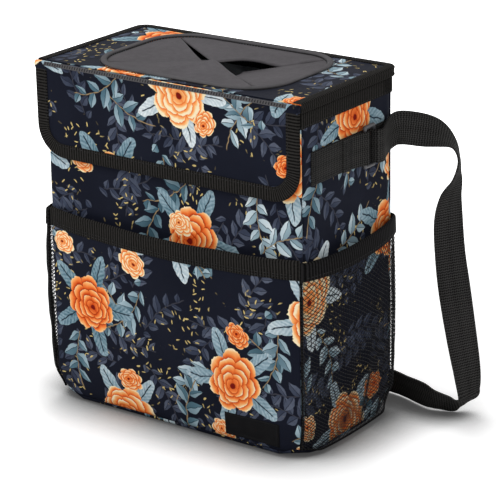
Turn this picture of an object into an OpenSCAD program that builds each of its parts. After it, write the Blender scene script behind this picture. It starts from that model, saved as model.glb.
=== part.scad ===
// Car trash bin: a boxy fabric bin with boards in its walls, a lid whose four stretch
// petals close its opening, a front flap, a front pocket, two net side pockets and a strap.
// The origin is at the centre of the base, on the floor. X runs across the width,
// -Y is the front and Z is up.

/* [Body] */
// Width of the body
body_w = 230; // [180:1:300]
// Depth of the body
body_d = 120; // [100:1:180]
// Height of the body's rim
body_h = 262; // [220:1:340]
// Radius of the upright corners
corner_r = 4; // [4:0.5:10]
// Radius of the edge round the base
edge_r = 4; // [3:0.5:8]
// Thickness of the outer cloth with its padding
cloth_t = 1.2; // [0.8:0.1:2]
// Thickness of the stiffening boards
board_t = 2; // [1:0.1:4]
// Thickness of the waterproof liner
liner_t = 0.8; // [0.5:0.1:1.5]

/* [Rim band] */
// How far the woven band reaches down the outside
rim_band_h = 12; // [8:1:20]
// How far it reaches down the inside
rim_inner_h = 10; // [6:1:16]
// Thickness of the woven band
rim_band_t = 1.2; // [0.8:0.1:1.6]

/* [Lid] */
// How far the lid stands out at the sides and the back
lid_over = 4; // [2:0.5:8]
// Thickness of the lid's foam board
lid_board_t = 4; // [2:0.5:8]
// Thickness of the lid's cloth, top and underside
lid_cloth_t = 1; // [0.6:0.1:1.6]
// Radius of the lid's back corners
lid_corner_r = 10; // [6:1:16]
// Width of the binding on the lid's top
lid_bind_w = 4.5; // [3:0.5:8]
// Thickness of the binding cloth
bind_t = 0.8; // [0.5:0.1:1.4]

/* [Lid opening] */
// Distance from the opening to the lid's sides
opening_side = 41.5; // [20:0.5:60]
// Distance from the opening's soft border to the front fold
front_margin = 4.5; // [1:0.5:18]
// Distance from that border to the back binding
back_margin = 1.5; // [0.5:0.5:18]
// Radius of the opening's corners
opening_r = 32; // [20:1:45]
// Thickness of the stretch petals
petal_t = 2; // [1.2:0.1:3]
// Gap of the slits between the petals
slit_gap = 1.4; // [1:0.1:4]
// Share of the right petal's length at which it ends, which leaves the hole
right_end = 0.76; // [0.6:0.01:0.9]
// Depth to which the left petal sinks
left_sink = 7; // [3:0.5:12]
// Depth of the dip in the back petal's right edge
back_dip = 4; // [1:0.5:8]
// Height of that edge's raised end
back_lift = 1.6; // [0.5:0.1:4]
// Depth to which the right petal sinks
right_sink = 9; // [3:0.5:12]
// Height to which the front petal puffs up
front_puff = 1.5; // [0.5:0.5:4]
// Width of the soft piped border round the opening
piping_w = 5; // [2:0.5:7]
// Height of that border
piping_h = 2.4; // [1.2:0.2:4]

/* [Flap] */
// Length of the flap below the lid's top
flap_l = 73; // [50:1:100]
// Radius of the flap's lower corners
flap_corner_r = 25; // [10:1:34]
// Thickness of the flap
flap_t = 1.4; // [1:0.1:3]
// Width of the flap's binding
flap_bind_w = 11; // [6:1:16]
// Radius of the fold at the flap's top
fold_r = 2.6; // [2:0.1:3]
// Height of the hook and loop strips
strip_h = 20; // [10:1:30]
// Length of the hook and loop strips
strip_l = 80; // [40:1:120]
// Thickness of a hook or loop strip
strip_t = 1.6; // [1:0.1:2.5]

/* [Front pocket] */
// Height of the pocket's top edge at its ends
pocket_h = 154; // [100:1:180]
// How far the pocket bulges at its mouth
pocket_bulge = 8; // [6:0.5:16]
// How far the top edge sags in the middle
pocket_sag = 3; // [0:0.5:8]
// Height of the binding on pocket mouths
pocket_bind_h = 14; // [8:1:20]

/* [Net pockets] */
// How far the net stands out at its mouth
net_bulge = 14; // [8:0.5:24]
// How far the net stands out at its foot
net_foot = 5; // [3:0.5:10]
// Thickness of the net
net_t = 1; // [0.6:0.1:2]
// Height of the mouth's front end
net_front_h = 152; // [100:1:170]
// Height of the mouth's back end
net_back_h = 156; // [100:1:170]
// How far the mouth sags
net_sag = 9; // [0:0.5:20]
// Diamonds across the net
net_cols = 8; // [4:1:8]
// Diamonds up the net
net_rows = 8; // [4:1:8]
// Width of the net's strands
strand_w = 1.7; // [1:0.1:3]

/* [Label patch] */
// Width of the bare patch
patch_w = 48; // [20:1:70]
// Height of the bare patch
patch_h = 18; // [10:1:30]
// Thickness of the patch
patch_t = 1; // [0.6:0.1:2]
// Distance from the patch to the body's side
patch_side = 19; // [14:1:40]
// Height of the patch's lower edge
patch_z = 7.5; // [6:0.5:30]

/* [Strap] */
// Width of the webbing
web_w = 25; // [20:1:30]
// Thickness of the webbing
web_t = 1.6; // [1:0.1:2.2]
// Distance from the rim down to the webbing's middle on the sides
strap_drop = 43.5; // [36:0.5:60]
// Distance from the body's middle to the tab's front end
tab_front = 46; // [20:1:50]
// Radius of the ring's bars
ring_bar_r = 1.6; // [1.2:0.1:2.4]
// Width of the ring's slot
ring_slot = 8; // [6.5:0.5:12]
// Distance of the ring's front bar behind the body's middle
ring_y = 17; // [5:0.5:24]
// Largest swing of the rings
ring_swing = 20; // [5:1:24]

/* [Hidden] */

$fn = 48;
eps = 0.01;
seat = 0.4;
run_gap = 0.4;
bind_color = [0.11, 0.105, 0.1];
cloth_color = [0.14, 0.145, 0.19];
petal_color = [0.35, 0.34, 0.35];
board_color = [0.72, 0.7, 0.64];
liner_color = [0.5, 0.52, 0.54];
plastic_color = [0.2, 0.2, 0.21];

// Body layers, from the outside in
wall_top = body_h - rim_band_t;
base_top = cloth_t + board_t;
board_z = max(base_top, edge_r);
liner_in = cloth_t + board_t + liner_t;

// Heights through the lid
lid_z = body_h + seat;
lid_core_z = lid_z + bind_t;
lid_board_z = lid_core_z + lid_cloth_t;
lid_top_z = lid_board_z + lid_board_t;
lid_face_z = lid_top_z + lid_cloth_t;

// The lid's hinge line at the back and the flap's fold at the front
hinge_y = body_d / 2 + lid_over + 1;
bead_r = 1;
hinge_z = lid_z;
flap_y = -(body_d / 2 + strip_t + seat + strip_t + flap_t / 2);
fold_z = lid_face_z - fold_r;
lid_back = hinge_y - bead_r - run_gap;
lid_front = flap_y + fold_r + run_gap;
lid_w = body_w + 2 * lid_over;
opening_w = lid_w - 2 * opening_side;
border_front = lid_front + front_margin;
border_back = lid_back - lid_bind_w - back_margin;
opening_d = border_back - border_front - 2 * piping_w;
opening_y = (border_front + border_back) / 2;

// Strap, tab and ring
tab_loop_r = ring_bar_r + run_gap;
ring_x = body_w / 2 + web_t + tab_loop_r;
ring_reach = ring_slot + 2 * ring_bar_r;
ring_span = web_w + 1;

function mix(a, b, t) = a + (b - a) * t;
function unit(v) = v / norm(v);
function flip_x(p) = [-p[0], p[1], p[2]];
function reversed(list) = [for (i = [len(list) - 1:-1:0]) list[i]];

// A point of a smooth curve through p1 and p2, at t from 0 to 1
function spline(p0, p1, p2, p3, t) =
    0.5 * (2 * p1 + (p2 - p0) * t + (2 * p0 - 5 * p1 + 4 * p2 - p3) * t * t
    + (3 * p1 - p0 - 3 * p2 + p3) * t * t * t);

// The curve through all points, with a number of steps between each two
function smooth_path(pts, steps) = [
    for (i = [0:len(pts) - 2])
        for (k = [0:steps - 1])
            spline(pts[max(i - 1, 0)], pts[i], pts[i + 1], pts[min(i + 2, len(pts) - 1)], k / steps),
    pts[len(pts) - 1]
];

// A closed solid through rings of points, each with as many points in the same order.
// A shell's ring runs up one face and down the other, so its ends close like ladders.
module swept(rings, shell = true) {
    n = len(rings[0]);
    last = len(rings) - 1;
    sides = [
        for (i = [0:last - 1])
            for (k = [0:n - 1])
                let (a = i * n + k, b = i * n + (k + 1) % n)
                    each [[a, b, b + n], [a, b + n, a + n]]
    ];
    rungs = shell ?
        [for (k = [0:n / 2 - 2]) each [[k, k + 1, n - 2 - k], [k, n - 2 - k, n - 1 - k]]] :
        [[for (k = [0:n - 1]) k]];
    caps = [for (f = rungs) each [reversed(f), [for (k = f) last * n + k]]];
    polyhedron([for (r = rings) each r], concat(sides, caps), convexity = 6);
}

// A rounded rectangle about the origin
module corner_rect(w, d, r) {
    square([w - 2 * r, d], center = true);
    square([w, d - 2 * r], center = true);
    for (x = [-1, 1], y = [-1, 1])
        translate([x * (w / 2 - r), y * (d / 2 - r)])
            circle(r);
}

// A layer of the wall: its outer face lies an inset inside the body's faces
module wall_layer(inset, t, z0, z1) {
    r0 = max(corner_r - inset, 1);
    r1 = max(corner_r - inset - t, 0.6);
    translate([0, 0, z0])
        linear_extrude(z1 - z0)
            difference() {
                corner_rect(body_w - 2 * inset, body_d - 2 * inset, r0);
                corner_rect(body_w - 2 * (inset + t), body_d - 2 * (inset + t), r1);
            }
}

// Mirrored copies for the left side
module on_side(side) {
    mirror([side < 0 ? 1 : 0, 0, 0])
        children();
}

// The lower half of a ball, which reaches its full radius at the pole
module half_ball(r) {
    rotate_extrude($fn = 24)
        intersection() {
            circle(r, $fn = 24);
            translate([0, -r])
                square(r);
        }
}

// A solid block with a rounded lower edge
module soft_block(w, d, h, r, er) {
    hull() {
        for (x = [-1, 1], y = [-1, 1]) {
            translate([x * (w / 2 - r), y * (d / 2 - r), h - eps])
                cylinder(r = r, h = eps, $fn = 24);
            translate([x * (w / 2 - er), y * (d / 2 - er), er])
                half_ball(er);
        }
    }
}

// Base: a shallow tray of cloth that turns up into the walls
module base_panel() {
    color(cloth_color)
        difference() {
            soft_block(body_w, body_d, edge_r, corner_r, edge_r);
            translate([0, 0, cloth_t])
                soft_block(body_w - 2 * cloth_t, body_d - 2 * cloth_t, edge_r + 1,
                    max(corner_r - cloth_t, 1), max(edge_r - cloth_t, 1));
        }
}

module face_region(side) {
    reach = body_w + 2 * body_d;
    flat = body_d / 2 - corner_r;
    translate([-reach / 2, side < 0 ? -reach - flat : flat, 0])
        cube([reach, reach, body_h]);
}

module front_panel() {
    color(cloth_color)
        intersection() {
            wall_layer(0, cloth_t, edge_r, wall_top);
            face_region(-1);
        }
}

module back_panel() {
    color(cloth_color)
        intersection() {
            wall_layer(0, cloth_t, edge_r, wall_top);
            face_region(1);
        }
}

module side_panel(side) {
    flat = body_d - 2 * corner_r;
    color(cloth_color)
        on_side(side)
            translate([body_w / 2 - cloth_t, -flat / 2, edge_r])
                cube([cloth_t, flat, wall_top - edge_r]);
}

module left_panel() {
    side_panel(-1);
}

module right_panel() {
    side_panel(1);
}

module base_board() {
    w = body_w - 2 * max(edge_r, corner_r);
    d = body_d - 2 * max(edge_r, corner_r);
    color(board_color)
        translate([0, 0, cloth_t + board_t / 2])
            cube([w, d, board_t], center = true);
}

module long_board(side) {
    w = body_w - 2 * corner_r;
    y = side * (body_d / 2 - cloth_t - board_t / 2);
    color(board_color)
        translate([-w / 2, y - board_t / 2, board_z])
            cube([w, board_t, wall_top - board_z]);
}

module front_board() {
    long_board(-1);
}

module back_board() {
    long_board(1);
}

module short_board(side) {
    d = body_d - 2 * max(corner_r, cloth_t + board_t);
    color(board_color)
        on_side(side)
            translate([body_w / 2 - cloth_t - board_t, -d / 2, board_z])
                cube([board_t, d, wall_top - board_z]);
}

module left_board() {
    short_board(-1);
}

module right_board() {
    short_board(1);
}

// The liner is one welded box, open at the top
module inner_liner() {
    inset = cloth_t + board_t;
    color(liner_color) {
        difference() {
            translate([0, 0, base_top])
                linear_extrude(wall_top - base_top)
                    corner_rect(body_w - 2 * inset, body_d - 2 * inset, max(corner_r - inset, 1));
            translate([0, 0, base_top + liner_t])
                linear_extrude(wall_top - base_top)
                    corner_rect(body_w - 2 * liner_in, body_d - 2 * liner_in, max(corner_r - liner_in, 0.6));
        }
    }
}

// The band folds over the rim and holds cloth, boards and liner together
module rim_band() {
    color(bind_color) {
        wall_layer(-rim_band_t, rim_band_t, wall_top - rim_band_h + rim_band_t, wall_top);
        wall_layer(-rim_band_t, liner_in + 2 * rim_band_t, wall_top, body_h);
        wall_layer(liner_in, rim_band_t, wall_top - rim_inner_h, wall_top);
    }
}

// Front pocket: how far its cloth stands off the front, and the height of its mouth
pocket_half = body_w / 2 - corner_r;
function pocket_mouth(x) = pocket_h - pocket_sag * cos(90 * x / pocket_half);
function pocket_off(x, z) =
    pocket_bulge * pow(max(cos(90 * x / pocket_half), 0), 0.6)
    * pow(sin(90 * min(max((z - edge_r) / (pocket_h - edge_r), 0), 1)), 0.8);
function pocket_xs(n) = [for (i = [0:n]) pocket_half * (2 * i / n - 1)];

module front_pocket() {
    rows = 9;
    color(cloth_color)
        swept([
            for (x = pocket_xs(24))
                let (top = pocket_mouth(x))
                    concat(
                        [for (k = [0:rows])
                            let (z = mix(edge_r, top, k / rows))
                                [x, -body_d / 2 - cloth_t - pocket_off(x, z), z]],
                        [for (k = [rows:-1:0])
                            let (z = mix(edge_r, top, k / rows))
                                [x, -body_d / 2 - pocket_off(x, z), z]]
                    )
        ]);
}

// Binding folded over the pocket's mouth
module front_pocket_binding() {
    color(bind_color)
        swept([
            for (x = pocket_xs(24))
                let (top = pocket_mouth(x), y = -body_d / 2 - pocket_off(x, top),
                    foot = -body_d / 2 - pocket_off(x, top - pocket_bind_h),
                    out = y - cloth_t, foot_out = foot - cloth_t)
                    [
                        [x, foot_out - bind_t, top - pocket_bind_h],
                        [x, out - bind_t, top],
                        [x, out - bind_t / 2, top + bind_t],
                        [x, y, top + bind_t],
                        [x, y, top],
                        [x, out, top],
                        [x, foot_out, top - pocket_bind_h]
                    ]
        ], shell = false);
}

// A bare patch sewn on the pocket's lower corner
module label_patch() {
    x1 = body_w / 2 - patch_side;
    x0 = x1 - patch_w;
    cols = 6;
    rows = 3;
    color(plastic_color)
        swept([
            for (i = [0:cols])
                let (x = mix(x0, x1, i / cols))
                    concat(
                        [for (k = [0:rows])
                            let (z = mix(patch_z, patch_z + patch_h, k / rows))
                                [x, -body_d / 2 - cloth_t - patch_t - pocket_off(x, z), z]],
                        [for (k = [rows:-1:0])
                            let (z = mix(patch_z, patch_z + patch_h, k / rows))
                                [x, -body_d / 2 - cloth_t - pocket_off(x, z), z]]
                    )
        ]);
}

// Net pocket: s runs from its front end at 0 to its back end at 1, h from its foot to its mouth
net_half = body_d / 2 - corner_r;
function net_mouth(s) = mix(net_front_h, net_back_h, s) - net_sag * sin(180 * s);
function net_x(s, h) = body_w / 2 + mix(net_foot, net_bulge, sin(90 * h)) * pow(max(sin(180 * s), 0), 0.7);
function net_point(s, h) = [net_x(s, h), mix(-net_half, net_half, s), mix(edge_r, net_mouth(s), h)];

// Diamonds stand on a lattice of whole steps, two for each diamond across and up
net_i = 2 * net_cols;
net_j = 2 * net_rows;
function net_at(i, j, off) = net_point(i / net_i, j / net_j) + [off, 0, 0];
function net_id(i, j) = i + j * (net_i + 1);
net_cells = [for (j = [1:net_j - 1]) for (i = [1:net_i - 1]) if ((i + j) % 2 == 0) [i, j]];
net_arms = [[1, 0], [0, 1], [-1, 0], [0, -1]];

module side_net(side) {
    across = 2 * net_half / net_cols;
    up = (net_front_h - edge_r) / net_rows;
    to_side = across * up / (2 * norm([across, up]));
    hole = 1 - strand_w / 2 / to_side;
    count = (net_i + 1) * (net_j + 1);
    holes = 2 * count;
    outer = [for (off = [net_t, 0]) for (j = [0:net_j]) for (i = [0:net_i]) net_at(i, j, off)];
    inner = [for (c = net_cells) for (off = [net_t, 0]) for (a = net_arms)
        mix(net_at(c[0], c[1], off), net_at(c[0] + a[0], c[1] + a[1], off), hole)];
    cell_faces = [
        for (k = [0:len(net_cells) - 1])
            for (a = [0:3])
                let (c = net_cells[k], b = (a + 1) % 4,
                    va = net_id(c[0] + net_arms[a][0], c[1] + net_arms[a][1]),
                    vb = net_id(c[0] + net_arms[b][0], c[1] + net_arms[b][1]),
                    ha = holes + 8 * k + a, hb = holes + 8 * k + b)
                    each [
                        [vb, va, ha], [vb, ha, hb],
                        [va + count, vb + count, hb + 4], [va + count, hb + 4, ha + 4],
                        [hb, ha, ha + 4], [hb, ha + 4, hb + 4]
                    ]
    ];
    // The edge's half diamonds are closed, and so are the quarters in the corners
    foot = [for (i = [0:2:net_i]) [net_id(max(i - 1, 0), 0), net_id(min(i + 1, net_i), 0), net_id(i, 1)]];
    mouth = [for (i = [0:2:net_i])
        [net_id(min(i + 1, net_i), net_j), net_id(max(i - 1, 0), net_j), net_id(i, net_j - 1)]];
    front = [for (j = [2:2:net_j - 2]) [net_id(0, j + 1), net_id(0, j - 1), net_id(1, j)]];
    back = [for (j = [2:2:net_j - 2]) [net_id(net_i, j - 1), net_id(net_i, j + 1), net_id(net_i - 1, j)]];
    ring = concat(
        [net_id(0, 0)], [for (i = [1:2:net_i - 1]) net_id(i, 0)],
        [net_id(net_i, 0)], [for (j = [1:2:net_j - 1]) net_id(net_i, j)],
        [net_id(net_i, net_j)], [for (i = [net_i - 1:-2:1]) net_id(i, net_j)],
        [net_id(0, net_j)], [for (j = [net_j - 1:-2:1]) net_id(0, j)]
    );
    caps = concat(foot, mouth, front, back);
    faces = concat(
        cell_faces,
        [for (f = caps) [f[2], f[1], f[0]]],
        [for (f = caps) [f[0] + count, f[1] + count, f[2] + count]],
        [for (k = [0:len(ring) - 1])
            let (a = ring[k], b = ring[(k + 1) % len(ring)])
                each [[a, b, b + count], [a, b + count, a + count]]]
    );
    color(bind_color)
        on_side(side)
            polyhedron(concat(outer, inner), faces, convexity = 10);
}

module left_net() {
    side_net(-1);
}

module right_net() {
    side_net(1);
}

// Elastic binding folded over the net's mouth, with a little play round the net's edge
bind_play = 0.2;

module net_binding(side) {
    low_h = 1 - pocket_bind_h / net_front_h;
    near = net_t + bind_play;
    far = near + bind_t;
    color(bind_color)
        on_side(side)
            swept([
                for (k = [0:net_i])
                    let (s = k / net_i, top = net_point(s, 1), low = net_point(s, low_h),
                        y = top[1], z = top[2] + bind_play)
                        [
                            [low[0] + near, y, low[2]],
                            [top[0] + near, y, z],
                            [top[0], y, z],
                            [top[0], y, z + bind_t],
                            [top[0] + near + bind_t / 2, y, z + bind_t],
                            [top[0] + far, y, z],
                            [low[0] + far, y, low[2]]
                        ]
            ], shell = false);
}

module left_net_binding() {
    net_binding(-1);
}

module right_net_binding() {
    net_binding(1);
}

// Tab: webbing sewn flat to the side, its end turned back round the ring's bar
module strap_tab(side) {
    turn = 14;
    color(bind_color)
        on_side(side)
            translate([body_w / 2, 0, strap_z - web_w / 2])
                difference() {
                    linear_extrude(web_w) {
                        translate([0, -tab_front])
                            square([web_t, tab_front + ring_y - turn]);
                        hull() {
                            translate([0, ring_y - turn])
                                square([2 * web_t, eps]);
                            translate([web_t + tab_loop_r, ring_y])
                                circle(tab_loop_r + web_t);
                        }
                    }
                    translate([web_t + tab_loop_r, ring_y, -1])
                        cylinder(r = tab_loop_r, h = web_w + 2);
                }
}

module left_tab() {
    strap_tab(-1);
}

module right_tab() {
    strap_tab(1);
}

// Ring: a rectangle of round bars
module strap_ring(side) {
    half = ring_span / 2 + ring_bar_r;
    color(plastic_color)
        on_side(side)
            translate([ring_x, ring_y, strap_z]) {
                for (y = [0, ring_reach])
                    translate([0, y, -half])
                        cylinder(r = ring_bar_r, h = 2 * half);
                for (z = [-half, half]) {
                    translate([0, 0, z])
                        rotate([-90, 0, 0])
                            cylinder(r = ring_bar_r, h = ring_reach);
                    for (y = [0, ring_reach])
                        translate([0, y, z])
                            sphere(ring_bar_r);
                }
            }
}

module left_ring() {
    strap_ring(-1);
}

module right_ring() {
    strap_ring(1);
}

// The strap's end: its tail lies on the wall, and it turns through the ring with room for the swing
strap_z = body_h - strap_drop;
strap_gap = 0.1;
tail_l = 24;
turn_r = 2;
turn_cut = 0.3 * turn_r;
bar_y = ring_y + ring_reach;
tail_x = body_w / 2 + web_t / 2 + strap_gap;
swing_out = ring_reach * sin(ring_swing);
swing_back = ring_reach * (1 - cos(ring_swing));
loop_x = ring_x + swing_out + ring_bar_r + run_gap + web_t / 2;
loop_y = bar_y - swing_back - ring_bar_r - run_gap - web_t / 2;
flat_x = tail_x + web_t + strap_gap;
up_z = [0, 0, 1];

// Stations of the right half, from the sewn tail to the middle behind the bin:
// a point of the middle line and the direction across the webbing
end_stations = [
    [[tail_x, bar_y + tail_l, strap_z], up_z],
    [[tail_x, bar_y + tail_l / 2, strap_z], up_z],
    [[tail_x, loop_y + turn_r, strap_z], up_z],
    [[tail_x + turn_cut, loop_y + turn_cut, strap_z], up_z],
    [[tail_x + turn_r, loop_y, strap_z], up_z],
    [[loop_x - turn_r, loop_y, strap_z], up_z],
    [[loop_x - turn_cut, loop_y + turn_cut, strap_z], up_z],
    [[loop_x, loop_y + turn_r, strap_z], up_z],
    [[loop_x - strap_gap, bar_y + tail_l / 6, strap_z], up_z],
    [[mix(loop_x, flat_x, 0.55), bar_y + tail_l * 0.55, strap_z + 0.5], up_z],
    [[flat_x + 0.6, bar_y + tail_l, strap_z + 2.5], up_z]
];

// Where the free strap hangs, counted from the body's back corner and from the height of the rings
function behind(dx, dy, share) = [body_w / 2 + dx, body_d / 2 + dy, strap_z * share];
// Where it turns at the floor, and where it runs over the floor on its lower edge
function near_floor(dx, dy, z) = [body_w / 2 + dx, body_d / 2 + dy, z];
function on_floor(dx, dy, down) =
    [[body_w / 2 + dx, body_d / 2 + dy, web_t - web_w / 2 * unit(down)[2]], down];
floor_lean = [0, 0.35, -0.94];
middle_dy = 22;
free_stations = [
    [behind(4.9, 1.7, 1.019), [-0.09, 0.22, 0.97]],
    [behind(13.3, 14.4, 1.005), [-0.19, 0.27, 0.94]],
    [behind(24.7, 25.3, 0.985), [-0.46, 0.63, 0.62]],
    [behind(32.8, 30.8, 0.952), [-0.5, 0.86, 0.12]],
    [behind(38.2, 30.6, 0.901), [-0.47, 0.85, -0.23]],
    [behind(37.9, 28.4, 0.84), [-0.33, 0.88, -0.34]],
    [behind(33.2, 27.2, 0.767), [0.11, 0.94, -0.33]],
    [behind(31.9, 27, 0.678), [0.46, 0.86, -0.22]],
    [behind(34.2, 26.4, 0.558), [0.58, 0.8, -0.16]],
    [behind(39.5, 24.4, 0.438), [0.7, 0.7, -0.1]],
    [behind(47.8, 20.8, 0.291), [0.6, 0.79, -0.12]],
    [behind(54.6, 18.4, 0.169), [0.38, 0.92, 0]],
    [near_floor(57.5, 16.9, 21.8), [0.16, 0.97, 0.15]],
    [near_floor(57.2, 17, 15.8), [0.11, 0.98, -0.15]],
    [near_floor(53.6, 16, 12.8), [-0.18, 0.9, -0.39]],
    on_floor(48.6, 11.7, [-0.5, 0.56, -0.66]),
    on_floor(35, 8, [-0.26, 0.52, -0.81]),
    on_floor(27.5, 8.2, [0, 0.39, -0.92]),
    on_floor(20.7, 9.2, [0.07, 0.32, -0.95]),
    on_floor(9.4, 12.2, [0.09, 0.33, -0.94]),
    on_floor(-2, 16, [0.05, 0.35, -0.94]),
    on_floor(-17, 18.6, floor_lean),
    on_floor(-0.28 * body_w, 21, floor_lean),
    on_floor(-body_w / 2, middle_dy, floor_lean)
];
right_half = concat(end_stations, free_stations);
all_stations = concat(right_half,
    reversed([for (k = [0:len(right_half) - 2]) [flip_x(right_half[k][0]), flip_x(right_half[k][1])]]));
strap_steps = 3;
strap_line = smooth_path([for (s = all_stations) s[0]], strap_steps);
strap_wide = smooth_path([for (s = all_stations) unit(s[1])], strap_steps);

module shoulder_strap() {
    last = len(strap_line) - 1;
    color(bind_color)
        swept([
            for (i = [0:last])
                let (along = unit(strap_line[min(i + 1, last)] - strap_line[max(i - 1, 0)]),
                    raw = strap_wide[i], wide = unit(raw - along * (raw * along)),
                    face = cross(along, wide), c = strap_line[i])
                    [
                        c + wide * web_w / 2 + face * web_t / 2,
                        c + wide * web_w / 2 - face * web_t / 2,
                        c - wide * web_w / 2 - face * web_t / 2,
                        c - wide * web_w / 2 + face * web_t / 2
                    ]
        ]);
}

// Strips that hold the flap shut
strip_z = lid_face_z - flap_l + flap_bind_w + strip_h / 2 + 1;

module loop_strip() {
    color(bind_color)
        translate([0, -body_d / 2 - strip_t / 2, strip_z])
            cube([strip_l, strip_t, strip_h], center = true);
}

module hook_strip() {
    color(bind_color)
        translate([0, flap_y + flap_t / 2 + strip_t / 2, strip_z])
            cube([strip_l, strip_t, strip_h], center = true);
}

// Hinge tape: sewn on the rim band's back, with the round bead that the lid turns on
module lid_hinge_tape() {
    tape_t = 1;
    w = body_w - 2 * corner_r;
    y0 = body_d / 2 + rim_band_t;
    color(bind_color)
        translate([-w / 2, 0, 0])
            rotate([90, 0, 90]) {
                linear_extrude(w) {
                    translate([y0, wall_top - rim_band_h + 2])
                        square([tape_t, rim_band_h - 2 - tape_t]);
                    translate([y0, wall_top - 2 * tape_t])
                        square([hinge_y - y0, tape_t]);
                    translate([hinge_y - tape_t / 2, wall_top - 2 * tape_t])
                        square([tape_t, hinge_z - wall_top + 2 * tape_t]);
                }
                translate([hinge_y, hinge_z, 0])
                    cylinder(r = bead_r, h = w);
            }
}

// Outline of the lid: square at the front fold, round at the back corners
module lid_outline(inset) {
    r = lid_corner_r - inset;
    w = lid_w - 2 * inset;
    back = lid_back - inset;
    translate([-w / 2, lid_front])
        square([w, back - r - lid_front]);
    translate([-w / 2 + r, lid_front])
        square([w - 2 * r, back - lid_front]);
    for (x = [-1, 1])
        translate([x * (w / 2 - r), back - r])
            circle(r);
}

module opening_outline() {
    translate([0, opening_y])
        corner_rect(opening_w, opening_d, opening_r);
}

module lid_layer(z, t) {
    translate([0, 0, z])
        linear_extrude(t)
            difference() {
                lid_outline(bind_t);
                opening_outline();
            }
}

module lid_panel() {
    color(cloth_color)
        lid_layer(lid_top_z, lid_cloth_t);
}

module lid_board() {
    color(board_color)
        lid_layer(lid_board_z, lid_board_t);
}

module lid_lining() {
    color(cloth_color)
        lid_layer(lid_core_z, lid_cloth_t);
}

// The binding wraps the lid's sides and back, and stops at the front fold
module lid_binding() {
    color(bind_color)
        difference() {
            translate([0, 0, lid_z])
                linear_extrude(lid_face_z + bind_t - lid_z)
                    difference() {
                        lid_outline(0);
                        lid_outline_open(lid_bind_w);
                    }
            translate([0, 0, lid_core_z])
                linear_extrude(lid_face_z - lid_core_z)
                    lid_outline_open(bind_t);
        }
}

// The same outline run out past the front edge, to cut with
module lid_outline_open(inset) {
    w = lid_w - 2 * inset;
    lid_outline(inset);
    translate([-w / 2, lid_front - 1])
        square([w, 2]);
}

// The petals' meeting point, and the outline of the opening by its corner arcs
meet = [-0.032 * opening_w, 0.029 * opening_d];
function arc_points(cx, cy, r, a0, n) = [
    for (k = [0:n]) let (a = a0 + 90 * k / n) [cx + r * cos(a), cy + r * sin(a)]
];
function outline_points(w, d, r, n) = concat(
    arc_points(w / 2 - r, opening_y + d / 2 - r, r, 0, n),
    arc_points(-w / 2 + r, opening_y + d / 2 - r, r, 90, n),
    arc_points(-w / 2 + r, opening_y - d / 2 + r, r, 180, n),
    arc_points(w / 2 - r, opening_y - d / 2 + r, r, 270, n)
);

// Piping: a soft, low border sewn on the lid's cloth round the opening
module opening_piping() {
    half = piping_w / 2;
    line = outline_points(opening_w + piping_w, opening_d + piping_w, opening_r + half, 8);
    n = len(line);
    sides = 8;
    rings = [
        for (i = [0:n - 1])
            let (a = line[(i + n - 1) % n], b = line[(i + 1) % n], t = unit(b - a), out = [t[1], -t[0]])
                [for (k = [0:sides - 1])
                    let (q = 360 * k / sides, c = line[i] + out * half * cos(q))
                        [c[0], c[1], lid_face_z + piping_h * (1 + sin(q)) / 2]]
    ];
    faces = [
        for (i = [0:n - 1])
            for (k = [0:sides - 1])
                let (a = i * sides + k, b = i * sides + (k + 1) % sides,
                    c = (i + 1) % n * sides + (k + 1) % sides, d = (i + 1) % n * sides + k)
                    each [[a, b, c], [a, c, d]]
    ];
    color(petal_color)
        polyhedron([for (r = rings) each r], faces, convexity = 6);
}

// Ends of the four slits, as shares of the opening's half width and half depth
function in_opening(sx, sy) = [sx * opening_w / 2, opening_y + sy * opening_d / 2];
slit_back_left = in_opening(-0.955, 0.941);
slit_back_right = in_opening(0.844, 0.897);
slit_front_right = in_opening(0.844, -0.805);
slit_front_left = in_opening(-0.932, -0.847);

// Where a ray from the meeting point crosses the outline, by halving
function inside(p) =
    let (q = [abs(p[0]) - opening_w / 2 + opening_r, abs(p[1] - opening_y) - opening_d / 2 + opening_r])
        norm([max(q[0], 0), max(q[1], 0)]) <= opening_r;
function crossing(d, lo, hi, n) =
    n == 0 ? lo :
        let (m = (lo + hi) / 2)
            inside(meet + d * m) ? crossing(d, m, hi, n - 1) : crossing(d, lo, m, n - 1);
function ray_hit(angle) =
    let (d = [cos(angle), sin(angle)])
        meet + d * crossing(d, 0, opening_w, 24);

function angle_to(p) = atan2(p[1] - meet[1], p[0] - meet[0]);

// A petal between two slit angles. Its tip stops short of the meeting point by a share of its length,
// and shape(u, v) is its height, with u across it and v from the edge to the tip.
module petal(a0, a1, tip, heights) {
    across = 14;
    along = 7;
    half_gap = slit_gap / 2;
    rim = [for (i = [0:across]) ray_hit(mix(a0, a1, i / across))];
    side0 = unit(rim[0] - meet);
    side1 = unit(rim[across] - meet);
    shift = (half_gap / sin((a1 - a0) / 2)) * unit(side0 + side1);
    start = meet + shift;
    ring_for = function(i)
        let (edge = rim[i], u = i / across,
            edge_in = i == 0 ? edge + half_gap * [-side0[1], side0[0]] :
                i == across ? edge + half_gap * [side1[1], -side1[0]] : edge)
            [for (k = [0:along]) let (v = tip * k / along, q = mix(edge_in, start, v)) [q[0], q[1], u, v]];
    color(petal_color)
        swept([
            for (i = [0:across])
                let (row = ring_for(i))
                    concat(
                        [for (q = row) [q[0], q[1], lid_face_z - petal_t + heights(q[2], q[3])]],
                        [for (q = reversed(row)) [q[0], q[1], lid_face_z + heights(q[2], q[3])]]
                    )
        ]);
}

module left_petal() {
    petal(angle_to(slit_back_left), angle_to(slit_front_left) + 360, 0.985,
        function(u, v) -left_sink * pow(v, 1.8));
}

// A smooth hump round a place, 1 high
function hump(v, place, width) = exp(-pow((v - place) / width, 2));

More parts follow.
